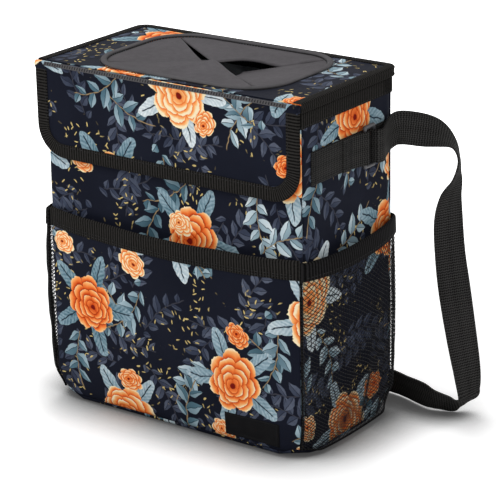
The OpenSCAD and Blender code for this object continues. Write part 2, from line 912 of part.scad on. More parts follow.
module back_petal() {
    petal(angle_to(slit_back_right), angle_to(slit_back_left), 0.985,
        function(u, v) (back_lift * hump(v, 0.75, 0.18) - back_dip * hump(v, 0.36, 0.17)) * pow(1 - u, 1.6) - 1.2 * v);
}

module right_petal() {
    petal(angle_to(slit_front_right), angle_to(slit_back_right), right_end,
        function(u, v) -right_sink * pow(v / right_end, mix(2.5, 1.2, u)));
}

module front_petal() {
    petal(angle_to(slit_front_left), angle_to(slit_front_right), 0.985,
        function(u, v) front_puff * sin(180 * v) * sin(180 * u));
}

// Flap: cloth folded over the lid's front edge, with rounded lower corners
module flap_shape(inset) {
    w = lid_w - 2 * inset;
    r = flap_corner_r - inset;
    low = lid_face_z - flap_l + inset;
    translate([-w / 2, low + r])
        square([w, fold_z - low - r]);
    translate([-w / 2 + r, low])
        square([w - 2 * r, fold_z - low]);
    for (x = [-1, 1])
        translate([x * (w / 2 - r), low + r])
            circle(r);
}

module flap_sheet(inset, t) {
    translate([0, flap_y + t / 2, 0])
        rotate([90, 0, 0])
            linear_extrude(t)
                flap_shape(inset);
}

module flap_panel() {
    color(cloth_color) {
        flap_sheet(bind_t, flap_t);
        translate([-lid_w / 2 + bind_t, flap_y, fold_z])
            rotate([0, 90, 0])
                cylinder(r = fold_r, h = lid_w - 2 * bind_t);
    }
}

module flap_binding() {
    over = flap_t + 2 * bind_t;
    color(bind_color)
        difference() {
            flap_sheet(0, over);
            flap_sheet(bind_t, flap_t);
            translate([0, flap_y + over, 0])
                rotate([90, 0, 0])
                    linear_extrude(2 * over)
                        flap_shape(flap_bind_w);
            translate([-lid_w / 2 - 1, flap_y - fold_r - 1, fold_z - fold_r - run_gap])
                cube([lid_w + 2, 2 * fold_r + 2, 2 * fold_r]);
        }
}

base_panel();
front_panel();
back_panel();
left_panel();
right_panel();
base_board();
front_board();
back_board();
left_board();
right_board();
inner_liner();
rim_band();
front_pocket();
front_pocket_binding();
label_patch();
left_net();
right_net();
left_net_binding();
right_net_binding();
left_tab();
right_tab();
left_ring();
right_ring();
shoulder_strap();
loop_strip();
lid_hinge_tape();
lid_panel();
lid_board();
lid_lining();
lid_binding();
opening_piping();
left_petal();
back_petal();
right_petal();
front_petal();
flap_panel();
flap_binding();
hook_strip();
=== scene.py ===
"""Car trash bin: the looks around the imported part. Lengths in the geometry code are in millimetres."""
import math

import bmesh
import bpy
import numpy as np
from mathutils import Matrix, Vector


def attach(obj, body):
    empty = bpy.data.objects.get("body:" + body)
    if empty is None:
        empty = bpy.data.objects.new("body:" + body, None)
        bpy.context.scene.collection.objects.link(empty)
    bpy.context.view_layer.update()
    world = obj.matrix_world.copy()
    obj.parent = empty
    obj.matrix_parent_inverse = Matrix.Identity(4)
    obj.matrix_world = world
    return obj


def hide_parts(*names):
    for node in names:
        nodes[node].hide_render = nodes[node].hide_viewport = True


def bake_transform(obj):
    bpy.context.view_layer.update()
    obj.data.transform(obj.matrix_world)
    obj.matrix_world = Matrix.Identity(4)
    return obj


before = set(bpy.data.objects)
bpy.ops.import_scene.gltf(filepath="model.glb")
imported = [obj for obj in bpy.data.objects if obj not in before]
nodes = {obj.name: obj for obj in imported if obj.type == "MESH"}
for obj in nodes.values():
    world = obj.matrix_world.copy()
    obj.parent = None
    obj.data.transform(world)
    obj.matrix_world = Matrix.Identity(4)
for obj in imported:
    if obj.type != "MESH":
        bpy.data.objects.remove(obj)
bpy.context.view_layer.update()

MM = 0.001
PI = math.pi

# Sizes of the part, as in its source
BODY_W, BODY_D, CORNER_R, EDGE_R = 230.0, 120.0, 4.0, 4.0
HALF_W, HALF_D = BODY_W / 2, BODY_D / 2
CLOTH_T, BOARD_IN, WALL_TOP, LINER_IN = 1.2, 3.2, 260.8, 4.0
LID_X, LID_FRONT, LID_BACK, LID_R = 119.0, -61.3, 63.6, 10.0
LID_FACE, LID_UNDER = 269.2, 263.2
FLAP_Y, FLAP_LOW, FLAP_R = -64.3, 196.2, 25.0
FOLD_Z, FOLD_R = 266.6, 2.6
STRIP_Z = 218.2
OPEN_W, OPEN_D, OPEN_R, OPEN_Y = 155.0, 104.4, 32.0, 0.4
BORDER_W, BORDER_H = 5.0, 2.4
STRAP_Z, WEB_W, WEB_T = 218.5, 25.0, 1.6
RING_X, RING_Y, RING_REACH, BAR_R = 118.6, 17.0, 11.2, 1.6

# Where each cloth lies on the flower print
PRINT_AT = {"front": (0, 0), "right": (262, 20), "back": (430, -30), "left": (720, 45), "base": (173, 961),
            "pocket": (300, 360), "lid": (1290, 610), "flap": (1200, 130)}


# Numbers and curves

def mix(a, b, t):
    return a + (b - a) * t


def srgb(r, g, b):
    """A colour written 0 to 255, as Blender's linear colour."""
    def one(c):
        c /= 255.0
        return c / 12.92 if c <= 0.04045 else ((c + 0.055) / 1.055) ** 2.4
    return (one(r), one(g), one(b), 1.0)


def waves(x, y, size, seed, count=8):
    """Smooth, seeded ripples of about that size, mostly within -1.5 to 1.5."""
    r = np.random.default_rng(seed)
    total = 0.0
    for _ in range(count):
        turn = r.uniform(0, 2 * PI)
        length = size * r.uniform(0.7, 1.7)
        phase = r.uniform(0, 2 * PI)
        total = total + np.sin(2 * PI * (x * math.cos(turn) + y * math.sin(turn)) / length + phase)
    return total / math.sqrt(count)


def ease(x, lo, hi):
    """0 at lo and 1 at hi, with a smooth change between them."""
    t = np.clip((x - lo) / (hi - lo), 0, 1)
    return t * t * (3 - 2 * t)


def hump(v, place, width):
    return np.exp(-((v - place) / width) ** 2)


def unit(v):
    v = np.asarray(v, float)
    return v / np.maximum(np.linalg.norm(v, axis=-1, keepdims=True), 1e-12)


def heading(path, closed=False):
    """The direction along a path at each of its points."""
    p = np.asarray(path, float)
    if closed:
        return unit(np.roll(p, -1, 0) - np.roll(p, 1, 0))
    return unit(np.vstack([p[1:], p[-1:]]) - np.vstack([p[:1], p[:-1]]))


def right_of(d):
    """The directions to the right of directions in a plane."""
    return np.stack([d[:, 1], -d[:, 0]], 1)


def arc(a0, a1, count):
    return np.linspace(a0, a1, count)


def spline_path(points, steps):
    """The smooth curve through all points, as in the part's source."""
    p = np.asarray(points, float)
    out = []
    for i in range(len(p) - 1):
        p0, p1, p2, p3 = p[max(i - 1, 0)], p[i], p[i + 1], p[min(i + 2, len(p) - 1)]
        for k in range(steps):
            t = k / steps
            out.append(0.5 * (2 * p1 + (p2 - p0) * t + (2 * p0 - 5 * p1 + 4 * p2 - p3) * t * t
                              + (3 * p1 - p0 - 3 * p2 + p3) * t ** 3))
    out.append(p[-1])
    return np.array(out)


def lengths(path):
    """The distance along a path at each of its points."""
    return np.concatenate([[0], np.cumsum(np.linalg.norm(np.diff(path, axis=0), axis=1))])


def resample(path, pitch, closed=False):
    """Points at an even pitch along a path, with the directions there."""
    p = np.asarray(path, float)
    if closed:
        p = np.vstack([p, p[:1]])
    s = lengths(p)
    count = max(int(round(s[-1] / pitch)), 1)
    at = (np.arange(count) + 0.5) * s[-1] / count

    def places(where):
        return np.stack([np.interp(where, s, p[:, k]) for k in range(p.shape[1])], 1)
    return places(at), unit(places(np.minimum(at + 0.5, s[-1])) - places(np.maximum(at - 0.5, 0)))


def round_rect(hw, hd, r, n=6, y0=0.0):
    """Points round a rounded rectangle, anticlockwise from the right side, with a few along its sides."""
    corners = [(1, 1), (-1, 1), (-1, -1), (1, -1)]
    pts = []
    for i, here in enumerate(corners):
        def at(k, corner):
            a = math.radians(90 * i + 90 * k / n)
            return corner[0] * (hw - r) + r * math.cos(a), y0 + corner[1] * (hd - r) + r * math.sin(a)
        pts += [at(k, here) for k in range(n + 1)]
        end, start = at(n, here), at(n, corners[(i + 1) % 4])
        pts += [(mix(end[0], start[0], k / 12), mix(end[1], start[1], k / 12)) for k in range(1, 12)]
    return np.array(pts)


def at_height(ring, z):
    return np.column_stack([ring, np.full(len(ring), z)])


# Meshes

def soft_corners(points):
    """The body's four lower corners give a little: in from both sides and up from the floor."""
    p = np.array(points, float)
    x, y = np.abs(p[:, 0]), np.abs(p[:, 1])
    give = (ease(x, 94, 114) * (1 - ease(x, 124, 134)) * ease(y, 39, 59) * (1 - ease(y, 67, 70))
            * (1 - ease(p[:, 2], 1, 24)))
    p[:, :2] -= np.sign(p[:, :2]) * np.array([4.5, 3.5]) * give[:, None]
    p[:, 2] += 3.2 * give
    return p


def add_piece(name, shape, body, material, stands_for=(), sharp=None, fix=True, weld=False):
    """A piece from points, faces and cloth coordinates, all in millimetres."""
    points, faces, uv = shape
    if body == "root":
        points = soft_corners(points)
    mesh = bpy.data.meshes.new(name)
    mesh.from_pydata((np.asarray(points, float) * MM).tolist(), [], faces)
    if uv is not None:
        index = np.zeros(len(mesh.loops), np.int32)
        mesh.loops.foreach_get("vertex_index", index)
        layer = mesh.uv_layers.new(name="Cloth")
        layer.data.foreach_set("uv", (np.asarray(uv, float) * MM)[index].astype(np.float32).ravel())
    if fix:
        bm = bmesh.new()
        bm.from_mesh(mesh)
        if weld:
            bmesh.ops.remove_doubles(bm, verts=bm.verts, dist=1e-6)
        bmesh.ops.recalc_face_normals(bm, faces=bm.faces)
        bm.to_mesh(mesh)
        bm.free()
    mesh.polygons.foreach_set("use_smooth", np.ones(len(mesh.polygons), bool))
    if sharp:
        mesh.set_sharp_from_angle(angle=math.radians(sharp))
    mesh.materials.append(material)
    obj = bpy.data.objects.new(name, mesh)
    bpy.context.scene.collection.objects.link(obj)
    if body:
        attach(obj, body)
    if stands_for:
        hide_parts(*stands_for)
    return obj


def grid_faces(n, m, base=0, wrap=False):
    rows = [(base + i * m, base + ((i + 1) % n) * m) for i in range(n if wrap else n - 1)]
    return [(a + j, b + j, b + j + 1, a + j + 1) for a, b in rows for j in range(m - 1)]


def shell(outer, inner, uv, wrap=False):
    """A closed sheet between two grids of points (n by m). wrap joins the last row to the first."""
    n, m = outer.shape[:2]
    base = n * m
    points = np.vstack([outer.reshape(-1, 3), inner.reshape(-1, 3)])
    both = np.vstack([uv.reshape(-1, 2), uv.reshape(-1, 2)])
    faces = grid_faces(n, m, 0, wrap) + [f[::-1] for f in grid_faces(n, m, base, wrap)]
    for i in range(n if wrap else n - 1):
        a, b = i * m, ((i + 1) % n) * m
        faces += [(b, a, a + base, b + base), (a + m - 1, b + m - 1, b + m - 1 + base, a + m - 1 + base)]
    if not wrap:
        for a in range(m - 1):
            b = (n - 1) * m + a
            faces += [(a, a + 1, a + 1 + base, a + base), (b + 1, b, b + base, b + 1 + base)]
    return points, faces, both


def sweep(rings, along, closed=False, across=None):
    """A solid through rings of points (n by k), capped unless closed. Its cloth runs along and round."""
    rings = np.asarray(rings, float)
    n, k = rings.shape[:2]
    if across is None:
        across = lengths(np.vstack([rings[0], rings[0, :1]]))[:k]
    faces = [(i * k + j, i * k + (j + 1) % k, ((i + 1) % n) * k + (j + 1) % k, ((i + 1) % n) * k + j)
             for i in range(n if closed else n - 1) for j in range(k)]
    if not closed:
        faces += [tuple(range(k))[::-1], tuple((n - 1) * k + j for j in range(k))]
    return rings.reshape(-1, 3), faces, np.stack([np.repeat(along, k), np.tile(across, n)], 1)


def tube(path, radius, sides=8, closed=False, flat=1.0, up=(0, 0, 1)):
    """A round or flattened cord along a path."""
    p = np.asarray(path, float)
    t = heading(p, closed)
    side = unit(np.cross(t, np.asarray(up, float)))
    top = np.cross(side, t)
    q = (np.arange(sides) * 2 * PI / sides)[None, :, None]
    rings = p[:, None] + radius * (np.cos(q) * side[:, None] + flat * np.sin(q) * top[:, None])
    return sweep(rings, lengths(p), closed)


def folded(middle, thick):
    """The outline, seen from its end, of a tape of this thickness folded along an open middle line."""
    m = np.asarray(middle, float)
    d = heading(m)
    n = right_of(d) * thick / 2
    return np.vstack([m + n, m[-1:] + d[-1:] * thick * 0.4, (m - n)[::-1], m[:1] - d[:1] * thick * 0.4])


def edge_rings(path, away, outline):
    """A tape's outline, as ways out and heights, set at each place of a level path."""
    return [[(x + nx * o, y + ny * o, z) for o, z in outline] for (x, y), (nx, ny) in zip(path, away)]


class Bundle:
    """Many small threads in one piece."""
    sides = 5

    def __init__(self):
        self.points, self.faces = [], []

    def threads(self, pts, along, out, side, length, radius, lift):
        """One short thread at each point, laid along its direction."""
        n = self.sides
        q = np.arange(n) * 2 * PI / n
        turn = [(j, (j + 1) % n) for j in range(n)]
        faces = [(0, 1 + k, 1 + j) for j, k in turn]
        faces += [(1 + j, 1 + k, 1 + n + k, 1 + n + j) for j, k in turn]
        faces += [(1 + n + j, 1 + n + k, 1 + 2 * n) for j, k in turn]
        for c, t, up, s in zip(pts, along, out, side):
            c = c + up * lift
            around = radius * (np.cos(q)[:, None] * s + np.sin(q)[:, None] * up)
            base = len(self.points) * (2 * n + 2)
            self.points.append(np.vstack([c - t * length / 2 - up * radius, c - t * length * 0.3 + around,
                                          c + t * length * 0.3 + around, c + t * length / 2 - up * radius]))
            self.faces += [tuple(v + base for v in f) for f in faces]

    def stitch(self, path, normal, pitch=3.4, length=2.5, radius=0.3, closed=False, lift=0.12):
        """A row of stitches along a path. normal is one direction, or one for each point of the path."""
        pts, along = resample(path, pitch, closed)
        normal = np.asarray(normal, float)
        if normal.ndim == 2:
            both, _ = resample(np.hstack([np.asarray(path, float), normal]), pitch, closed)
            count = min(len(both), len(pts))
            pts, along, out = pts[:count], along[:count], unit(both[:count, 3:])
        else:
            out = np.tile(unit(normal), (len(pts), 1))
        self.threads(pts, along, out, unit(np.cross(along, out)), length, radius, lift)

    def build(self, name, body, slot, material):
        points = np.vstack(self.points)
        shape = points, self.faces, np.zeros((len(points), 2))
        return add_piece(name, shape, body, material, fix=False)


# Shader arithmetic: sums and products of values become Math nodes

def feed(tree, x, socket):
    """Links an output to a socket, or sets a constant there."""
    x = getattr(x, "socket", x)
    if isinstance(x, bpy.types.NodeSocket):
        tree.links.new(x, socket)
    else:
        socket.default_value = x


def make(tree, kind, inputs=(), **settings):
    """A new shader node with its settings, and with inputs that are linked or set."""
    node = tree.nodes.new("ShaderNode" + kind)
    for key, x in settings.items():
        setattr(node, key, x)
    for key, x in dict(inputs).items():
        feed(tree, x, node.inputs[key])
    return node


class Val:
    def __init__(self, tree, socket):
        self.tree, self.socket = tree, socket

    def op(self, kind, *others, clamp=False):
        node = make(self.tree, "Math", enumerate((self, *others)), operation=kind, use_clamp=clamp)
        return Val(self.tree, node.outputs[0])

    def __rsub__(self, o):
        return self.op("MULTIPLY_ADD", -1.0, o)

    def clamp(self):
        return self.op("ADD", 0.0, clamp=True)

    def wave(self):
        """The sine, brought to 0 to 1."""
        return self.sin() * 0.5 + 0.5

    def step(self, lo, hi):
        """0 at lo and 1 at hi, with a smooth change between them."""
        node = make(self.tree, "MapRange", {"Value": self, "From Min": lo, "From Max": hi},
                    interpolation_type="SMOOTHSTEP")
        return Val(self.tree, node.outputs[0])


for method, kind in dict(
        __add__="ADD", __radd__="ADD", __sub__="SUBTRACT", __mul__="MULTIPLY", __rmul__="MULTIPLY",
        __truediv__="DIVIDE", abs="ABSOLUTE", max="MAXIMUM", pow="POWER", sin="SINE", cos="COSINE",
        acos="ARCCOSINE", sqrt="SQRT", floor="FLOOR", below="LESS_THAN", above="GREATER_THAN",
        atan2="ARCTAN2").items():
    setattr(Val, method, lambda self, *others, kind=kind: self.op(kind, *others))


def hypot(x, y):
    return (x * x + y * y).sqrt()


def crossing(x, y):
    """A checked ripple from 0 to 1, of two crossing waves."""
    return (x.sin() * y.sin()) * 0.5 + 0.5


class Cloth:
    """The node tree of one material, read in cloth coordinates in millimetres."""

    def __init__(self, name, rough=0.6, specular=0.012, sheen=0.0, coat=0.0):
        self.material = bpy.data.materials.new(name)
        self.material.use_nodes = True
        self.tree = self.material.node_tree
        self.inputs = self.tree.nodes["Principled BSDF"].inputs
        for key, x in (("Roughness", rough), ("Specular IOR Level", specular), ("Sheen Weight", sheen),
                       ("Coat Weight", coat)):
            self.inputs[key].default_value = x

    def parts(self, socket, kind="XYZ"):
        """The three parts of a vector or a colour."""
        return [Val(self.tree, s) for s in make(self.tree, "Separate" + kind, {0: socket}).outputs]

    def uv(self):
        """Cloth coordinates in millimetres."""
        return [p * 1000.0 for p in self.parts(make(self.tree, "UVMap", uv_map="Cloth").outputs[0])[:2]]

    def place(self):
        """Object coordinates in millimetres, for rigid pieces without cloth coordinates."""
        return [p * 1000.0 for p in self.parts(make(self.tree, "TexCoord").outputs["Object"])]

    def vector(self, *xyz):
        return make(self.tree, "CombineXYZ", enumerate(xyz)).outputs[0]

    def noise(self, x, y, size, detail=2.0, rough=0.5, z=0.0):
        """Smooth noise from 0 to 1, with features of about that size in millimetres."""
        node = make(self.tree, "TexNoise", {"Scale": 1.0 / size, "Detail": detail, "Roughness": rough,
                                            "Vector": self.vector(x, y, z)})
        return Val(self.tree, node.outputs[0])

    def cells(self, x, y, size, jitter, turn=0.0, shift=(0.0, 0.0)):
        """A jittered grid of places: coordinates about the nearest, turned at random, and random numbers."""
        c, s = math.cos(turn), math.sin(turn)
        px = (x * c + y * s) * (1.0 / size) + shift[0]
        py = (y * c - x * s) * (1.0 / size) + shift[1]
        inputs = {"Vector": self.vector(px, py), "Scale": 1.0, "Randomness": jitter}
        node = make(self.tree, "TexVoronoi", inputs, voronoi_dimensions="2D", feature="F1")
        at = self.parts(node.outputs["Position"])
        lx, ly = (px - at[0]) * size, (py - at[1]) * size
        rnd = self.parts(node.outputs["Color"], "Color")
        a = rnd[0] * 6.2832
        c, s = a.cos(), a.sin()
        return lx * c + ly * s, ly * c - lx * s, rnd

    def blend(self, fac, a, b):
        """Colour a where fac is 0, b where it is 1."""
        return make(self.tree, "Mix", {0: fac, 6: a, 7: b}, data_type="RGBA").outputs[2]

    def ramp(self, fac, stops):
        node = make(self.tree, "ValToRGB", {0: fac})
        ramp = node.color_ramp
        ramp.elements[0].position, ramp.elements[0].color = stops[0]
        ramp.elements[1].position, ramp.elements[1].color = stops[-1]
        for place, color in stops[1:-1]:
            ramp.elements.new(place).color = color
        return node.outputs[0]

    def finish(self, color, bumps=(), rough=None):
        """Links the colour, a roughness and bumps: (height 0 to 1, depth in millimetres, strength) each."""
        feed(self.tree, color, self.inputs["Base Color"])
        if rough is not None:
            feed(self.tree, rough, self.inputs["Roughness"])
        last = {}
        for height, depth, strength in bumps:
            inputs = {"Distance": depth * MM, "Strength": strength, "Height": height, **last}
            last = {"Normal": make(self.tree, "Bump", inputs).outputs[0]}
        for normal in last.values():
            feed(self.tree, normal, self.inputs["Normal"])
        return self.material


# The flower print: a generic design of blooms, leaf sprays and ghost leaves, made of simple shapes

WARM = [(0.0, srgb(150, 34, 14)), (0.2, srgb(212, 78, 28)), (0.5, srgb(246, 130, 62)),
        (0.8, srgb(255, 186, 116)), (1.0, srgb(255, 236, 196))]
BROAD = [(0.0, srgb(26, 62, 72)), (0.3, srgb(70, 106, 120)), (0.6, srgb(150, 174, 186)),
         (1.0, srgb(226, 234, 236))]
DIM = [(0.0, srgb(30, 33, 46)), (0.5, srgb(62, 69, 87)), (1.0, srgb(104, 111, 128))]
COOL = [(0.0, srgb(26, 54, 66)), (0.35, srgb(84, 114, 128)), (0.7, srgb(166, 188, 198)),
        (1.0, srgb(232, 240, 242))]


def bloom(c, x, y, size, turn, wobble, warm):
    """A bloom of layered petals. Returns its mask and colour."""
    found = []
    # Share of the size, petals, turn and shift of each ring of petals
    for share, petals, phase, shift in ((1.0, 7, 0.0, 0.0), (0.8, 6, 1.3, 0.05), (0.6, 5, 0.5, 0.1),
                                        (0.41, 4, 2.2, 0.13), (0.24, 3, 1.0, 0.15)):
        dx = x - size * shift
        lobe = (y.atan2(dx) * (petals / 2) + turn * petals + phase).cos().abs()
        found.append((size * share * (lobe.pow(0.6) * 0.22 + 0.77 + wobble * 0.16) - hypot(dx, y), lobe))
    color = None
    for k, (inside, lobe) in enumerate(found):
        if k + 1 < len(found):
            beyond = (found[k + 1][0] * -1.0).max(0.0)
            t = (beyond / (beyond + inside.max(0.0) + 0.01)).pow(0.75)
        else:
            t = (inside.max(0.0) / (size * 0.24)).clamp() * -0.5 + 0.55
        gap = (1.0 - lobe.pow(0.4)) * 0.75
        petal = c.ramp((t * (1.0 - gap) + warm * 0.4 - 0.07 + wobble * 0.3).clamp(), WARM)
        color = petal if color is None else c.blend(inside.step(-0.15, 0.2), color, petal)
    core = hypot(x - size * 0.16, y)
    color = c.blend((size * 0.1 - core).step(-0.3, 0.5), color, srgb(120, 26, 20))
    return found[0][0].step(-0.15, 0.2), color


def leaf_fan(c, x, y, size, count, turn, tint):
    """Broad leaves that spread from one point, each with its vein. Returns a mask and a colour."""
    r = hypot(x, y)
    angle = y.atan2(x) * (count / 2) + turn * 6.28
    inside = size * angle.cos().abs().pow(2.6) - r
    off = angle.sin().abs() * r * (2 / count)
    vein = off.step(0.75, 0.3) * (size * 0.94 - r).step(0, 2)
    ribs = ((r - off * 1.3) * 1.5).wave()
    pale = c.ramp((tint * 0.9 + ribs * 0.14 + (r / 42.0) * 0.3).clamp(), BROAD)
    return inside.step(-0.15, 0.3), c.blend(vein, pale, srgb(36, 50, 62))


def sprig(c, x, y, reach, leaf, width, pitch, bend, stops, tint):
    """A curved stem with leaves on both sides. Returns the masks of leaves and stem, and the leaf colour."""
    across = y - x * x * bend
    along = x + across.below(0.0) * (pitch / 2)
    middle = (along * (1.0 / pitch) + 0.5).floor() * pitch
    shrink = 1.0 - middle.abs() * (0.45 / reach)
    c0, s0 = math.cos(0.9), math.sin(0.9)
    ds = along - middle + shrink * (leaf * c0 / 2)
    at = across.abs()
    u, v = ds * c0 + at * s0, at * c0 - ds * s0
    share = (u / (shrink * leaf)).clamp()
    inside = (share.pow(0.8) * PI).sin().max(0.0) * shrink * width - v.abs()
    mask = inside.step(-0.1, 0.25) * u.above(0.0) * middle.abs().below(reach)
    color = c.ramp((tint + v.above(0.0) * 0.22 + share * 0.2 - 0.1).clamp(), stops)
    color = c.blend(v.abs().step(0.4, 0.15) * 0.8, color, stops[0][1])
    stem = (0.45 - at).step(-0.15, 0.15) * (reach - x.abs()).step(-1.0, 1.0)
    return mask, stem, color


def flower_print(c, x0, y0):
    wx = c.noise(x0, y0, 9.0, 3.0)
    wy = c.noise(x0, y0, 9.0, 3.0, z=7.3)
    x = x0 + (wx - 0.5) * 4.2
    y = y0 + (wy - 0.5) * 4.2
    broad = c.noise(x0, y0, 46.0, 2.0, z=3.1)
    fine = c.noise(x0, y0, 2.4, 3.0, 0.6, z=1.7)
    grain = fine - 0.5
    color = c.blend(broad, srgb(20, 22, 31), srgb(30, 33, 45))

    # Ghost leaves, dim on the ground
    for size, jitter, angle, shift, bend in ((66.0, 0.5, 0.4, (0.3, 0.1), 0.006),
                                             (58.0, 0.6, 1.9, (0.7, 0.4), -0.007)):
        lx, ly, rnd = c.cells(x, y, size, jitter, angle, shift)
        mask, stem, leaf = sprig(c, lx, ly, 25.0, 15.0, 3.7, 10.5, bend, DIM, broad * 0.7 + rnd[1] * 0.3)
        color = c.blend(stem * 0.7, color, srgb(70, 70, 78))
        color = c.blend(mask * (fine * 0.5 + 0.6), color, leaf)

    # Small cream strokes in drifts
    for size, angle, shift in ((6.5, 0.3, (0.0, 0.0)), (8.5, 1.2, (0.4, 0.7))):
        lx, ly, rnd = c.cells(x, y, size, 0.9, angle, shift)
        dot = 1.0 - hypot(lx * 0.5, ly * 1.7)
        drift = c.noise(x0, y0, 34.0, 1.0, z=9.0 + size).step(0.52, 0.6)
        color = c.blend(dot.step(0.0, 0.25) * drift * rnd[1].below(0.55), color, srgb(206, 184, 122))

    # Pale leaf sprays
    for size, angle, shift, bend, reach in ((84.0, 0.8, (0.15, 0.62), 0.008, 24.0),
                                            (97.0, 2.3, (0.5, 0.2), -0.01, 26.0)):
        lx, ly, rnd = c.cells(x, y, size, 0.4, angle, shift)
        mask, stem, leaf = sprig(c, lx, ly, reach, 17.0, 4.4, 12.5, bend, COOL, broad * 0.5 + rnd[1] * 0.4)
        color = c.blend(stem, color, srgb(150, 128, 96))
        color = c.blend(mask, color, leaf)

    # Blooms over broad leaves, and small blooms between them
    lx, ly, rnd = c.cells(x, y, 106.0, 0.36, 0.52, (0.36, 0.42))
    mask, leaf = leaf_fan(c, lx, ly, 43.0, 5, rnd[2], grain * 0.5 + rnd[1] * 0.5 + 0.15)
    color = c.blend(mask, color, leaf)
    mask, petals = bloom(c, lx, ly / 0.9, rnd[1] * 6.0 + 24.0, rnd[2], grain * 0.7 + (wx - 0.5) * 0.6, rnd[1])
    color = c.blend(mask, color, petals)
    lx, ly, rnd = c.cells(x, y, 83.0, 0.4, 1.35, (0.83, 0.27))
    mask, petals = bloom(c, lx, ly / 0.8, rnd[1] * 5.0 + 9.0, rnd[2], grain * 0.7, rnd[2])
    return c.blend(mask * rnd[1].above(0.45), color, petals)


def printed_cloth(name, rough=0.52):
    c = Cloth(name, rough)
    x, y = c.uv()
    color = flower_print(c, x, y)
    weave = crossing(x * 11.0, y * 11.0)
    puckers = c.noise(x, y, 26.0, 3.0, 0.45, z=5.0)
    shade = c.noise(x, y, 3.0, 2.0, z=2.0)
    return c.finish(color, [(puckers, 1.6, 0.35), (weave, 0.06, 0.25)], shade * 0.14 + (rough - 0.07))


def woven(name, dark, light, rib, depth, rough=0.75):
    """Ribbed tape: the cloth coordinate runs along it and then across."""
    c = Cloth(name, rough)
    x, y = c.uv()
    ribs = (x * (2 * PI / rib)).wave()
    yarn = (y * (2 * PI / 0.9) + (x * (2 * PI / rib / 2)).sin() * 1.2).wave()
    mottle = c.noise(x, y, 1.6, 3.0, 0.6)
    tone = (ribs * 0.55 + yarn * 0.2 + mottle * 0.5 - 0.28).clamp()
    return c.finish(c.blend(tone, dark, light), [(ribs, depth, 0.7), (yarn, depth * 0.5, 0.4)],
                    mottle * 0.2 + (rough - 0.1))


def herringbone(name, dark, light, lane=3.1):
    c = Cloth(name, 0.7)
    x, y = c.uv()
    bow = ((y * (1.0 / lane)).sin() * lane).abs()
    zig = (y * (2 * PI / lane)).cos().acos() * (lane / (2 * PI))
    rows = ((x + zig * 0.35) * (2 * PI / 2.0)).wave()
    cords = (y * (4 * PI / lane)).wave()
    mottle = c.noise(x, y, 1.8, 3.0, 0.6)
    worn = c.noise(x, y, 30.0, 2.0, z=4.0)
    tone = (rows * 0.45 + cords * 0.3 + mottle * 0.35 + worn * 0.2 - 0.3 + bow * 0.02).clamp()
    return c.finish(c.blend(tone, dark, light), [(cords, 0.25, 0.5), (rows, 0.3, 0.7)], mottle * 0.2 + 0.6)


def stretch_cloth(name, dark, light):
    c = Cloth(name, 0.78)
    x, y = c.uv()
    knit = crossing(x * 9.0, y * 6.5 + (x * 4.5).sin())
    mottle = c.noise(x, y, 5.0, 4.0, 0.6)
    broad = c.noise(x, y, 40.0, 2.0, z=3.0)
    tone = (knit * 0.25 + mottle * 0.5 + broad * 0.4 - 0.1).clamp()
    return c.finish(c.blend(tone, dark, light), [(mottle, 0.3, 0.25), (knit, 0.12, 0.5)], mottle * 0.15 + 0.7)


def moulded(name, dark, light, rough, grain=1.2, specular=0.5):
    c = Cloth(name, rough, specular)
    x, y, z = c.place()
    fine = c.noise(x, y, grain, 3.0, 0.6, z)
    tone = (fine * 0.6 + c.noise(x, y, 9.0, 2.0, 0.5, z) * 0.6 - 0.1).clamp()
    return c.finish(c.blend(tone, dark, light), [(fine, 0.12, 0.3)], fine * 0.2 + (rough - 0.1))


def film(name, dark, light):
    c = Cloth(name, 0.35, 0.5, coat=0.1)
    x, y = c.uv()
    creases = c.noise(x, y, 20.0, 4.0, 0.6)
    grain = crossing(x * 3.2, y * 3.2)
    tone = (creases * 0.8 + grain * 0.15).clamp()
    return c.finish(c.blend(tone, dark, light), [(creases, 1.8, 0.5), (grain, 0.1, 0.3)],
                    creases * 0.2 + 0.28)


def fuzzy(name, dark, light):
    c = Cloth(name, 0.9, 0.2, sheen=0.5)
    x, y = c.uv()
    hooks = crossing(x * 4.4, y * 4.4)
    fuzz = c.noise(x, y, 0.9, 4.0, 0.7)
    tone = (fuzz * 0.7 + hooks * 0.3).clamp()
    return c.finish(c.blend(tone, dark, light), [(fuzz, 0.5, 0.8), (hooks, 0.3, 0.6)])


PRINT = printed_cloth("printed_cloth")
TAPE = woven("ribbed_tape", srgb(3, 3, 3), srgb(64, 62, 60), 2.3, 0.45)
ELASTIC = woven("elastic_binding", srgb(3, 3, 3), srgb(50, 49, 50), 2.6, 0.2, rough=0.66)
WEBBING = herringbone("webbing_weave", srgb(3, 3, 3), srgb(78, 77, 76))
NET = moulded("net_yarn", srgb(4, 4, 5), srgb(52, 52, 55), 0.5, 0.8, 0.1)
STRETCH = stretch_cloth("stretch_grey", srgb(66, 64, 66), srgb(106, 103, 106))
PIPING = stretch_cloth("piping_grey", srgb(66, 65, 67), srgb(106, 104, 106))
THREAD = moulded("sewing_thread", srgb(10, 10, 11), srgb(44, 43, 44), 0.6, 0.5, 0.2)
BLACK = moulded("black_thread", srgb(7, 7, 8), srgb(26, 26, 28), 0.6, 0.5, 0.1)
LINER = film("liner_film", srgb(118, 122, 128), srgb(168, 172, 178))
LINING = stretch_cloth("lid_lining_cloth", srgb(32, 33, 38), srgb(54, 55, 62))
BOARD = moulded("board_foam", srgb(170, 164, 150), srgb(206, 200, 186), 0.85, 2.0)
LID_FOAM = moulded("lid_foam", srgb(34, 34, 37), srgb(56, 56, 60), 0.85, 2.0)
PLASTIC = moulded("ring_plastic_grain", srgb(44, 44, 47), srgb(72, 72, 76), 0.42, 1.0)
RUBBER = moulded("patch_rubber", srgb(6, 6, 7), srgb(22, 22, 24), 0.6, 1.5, 0.06)
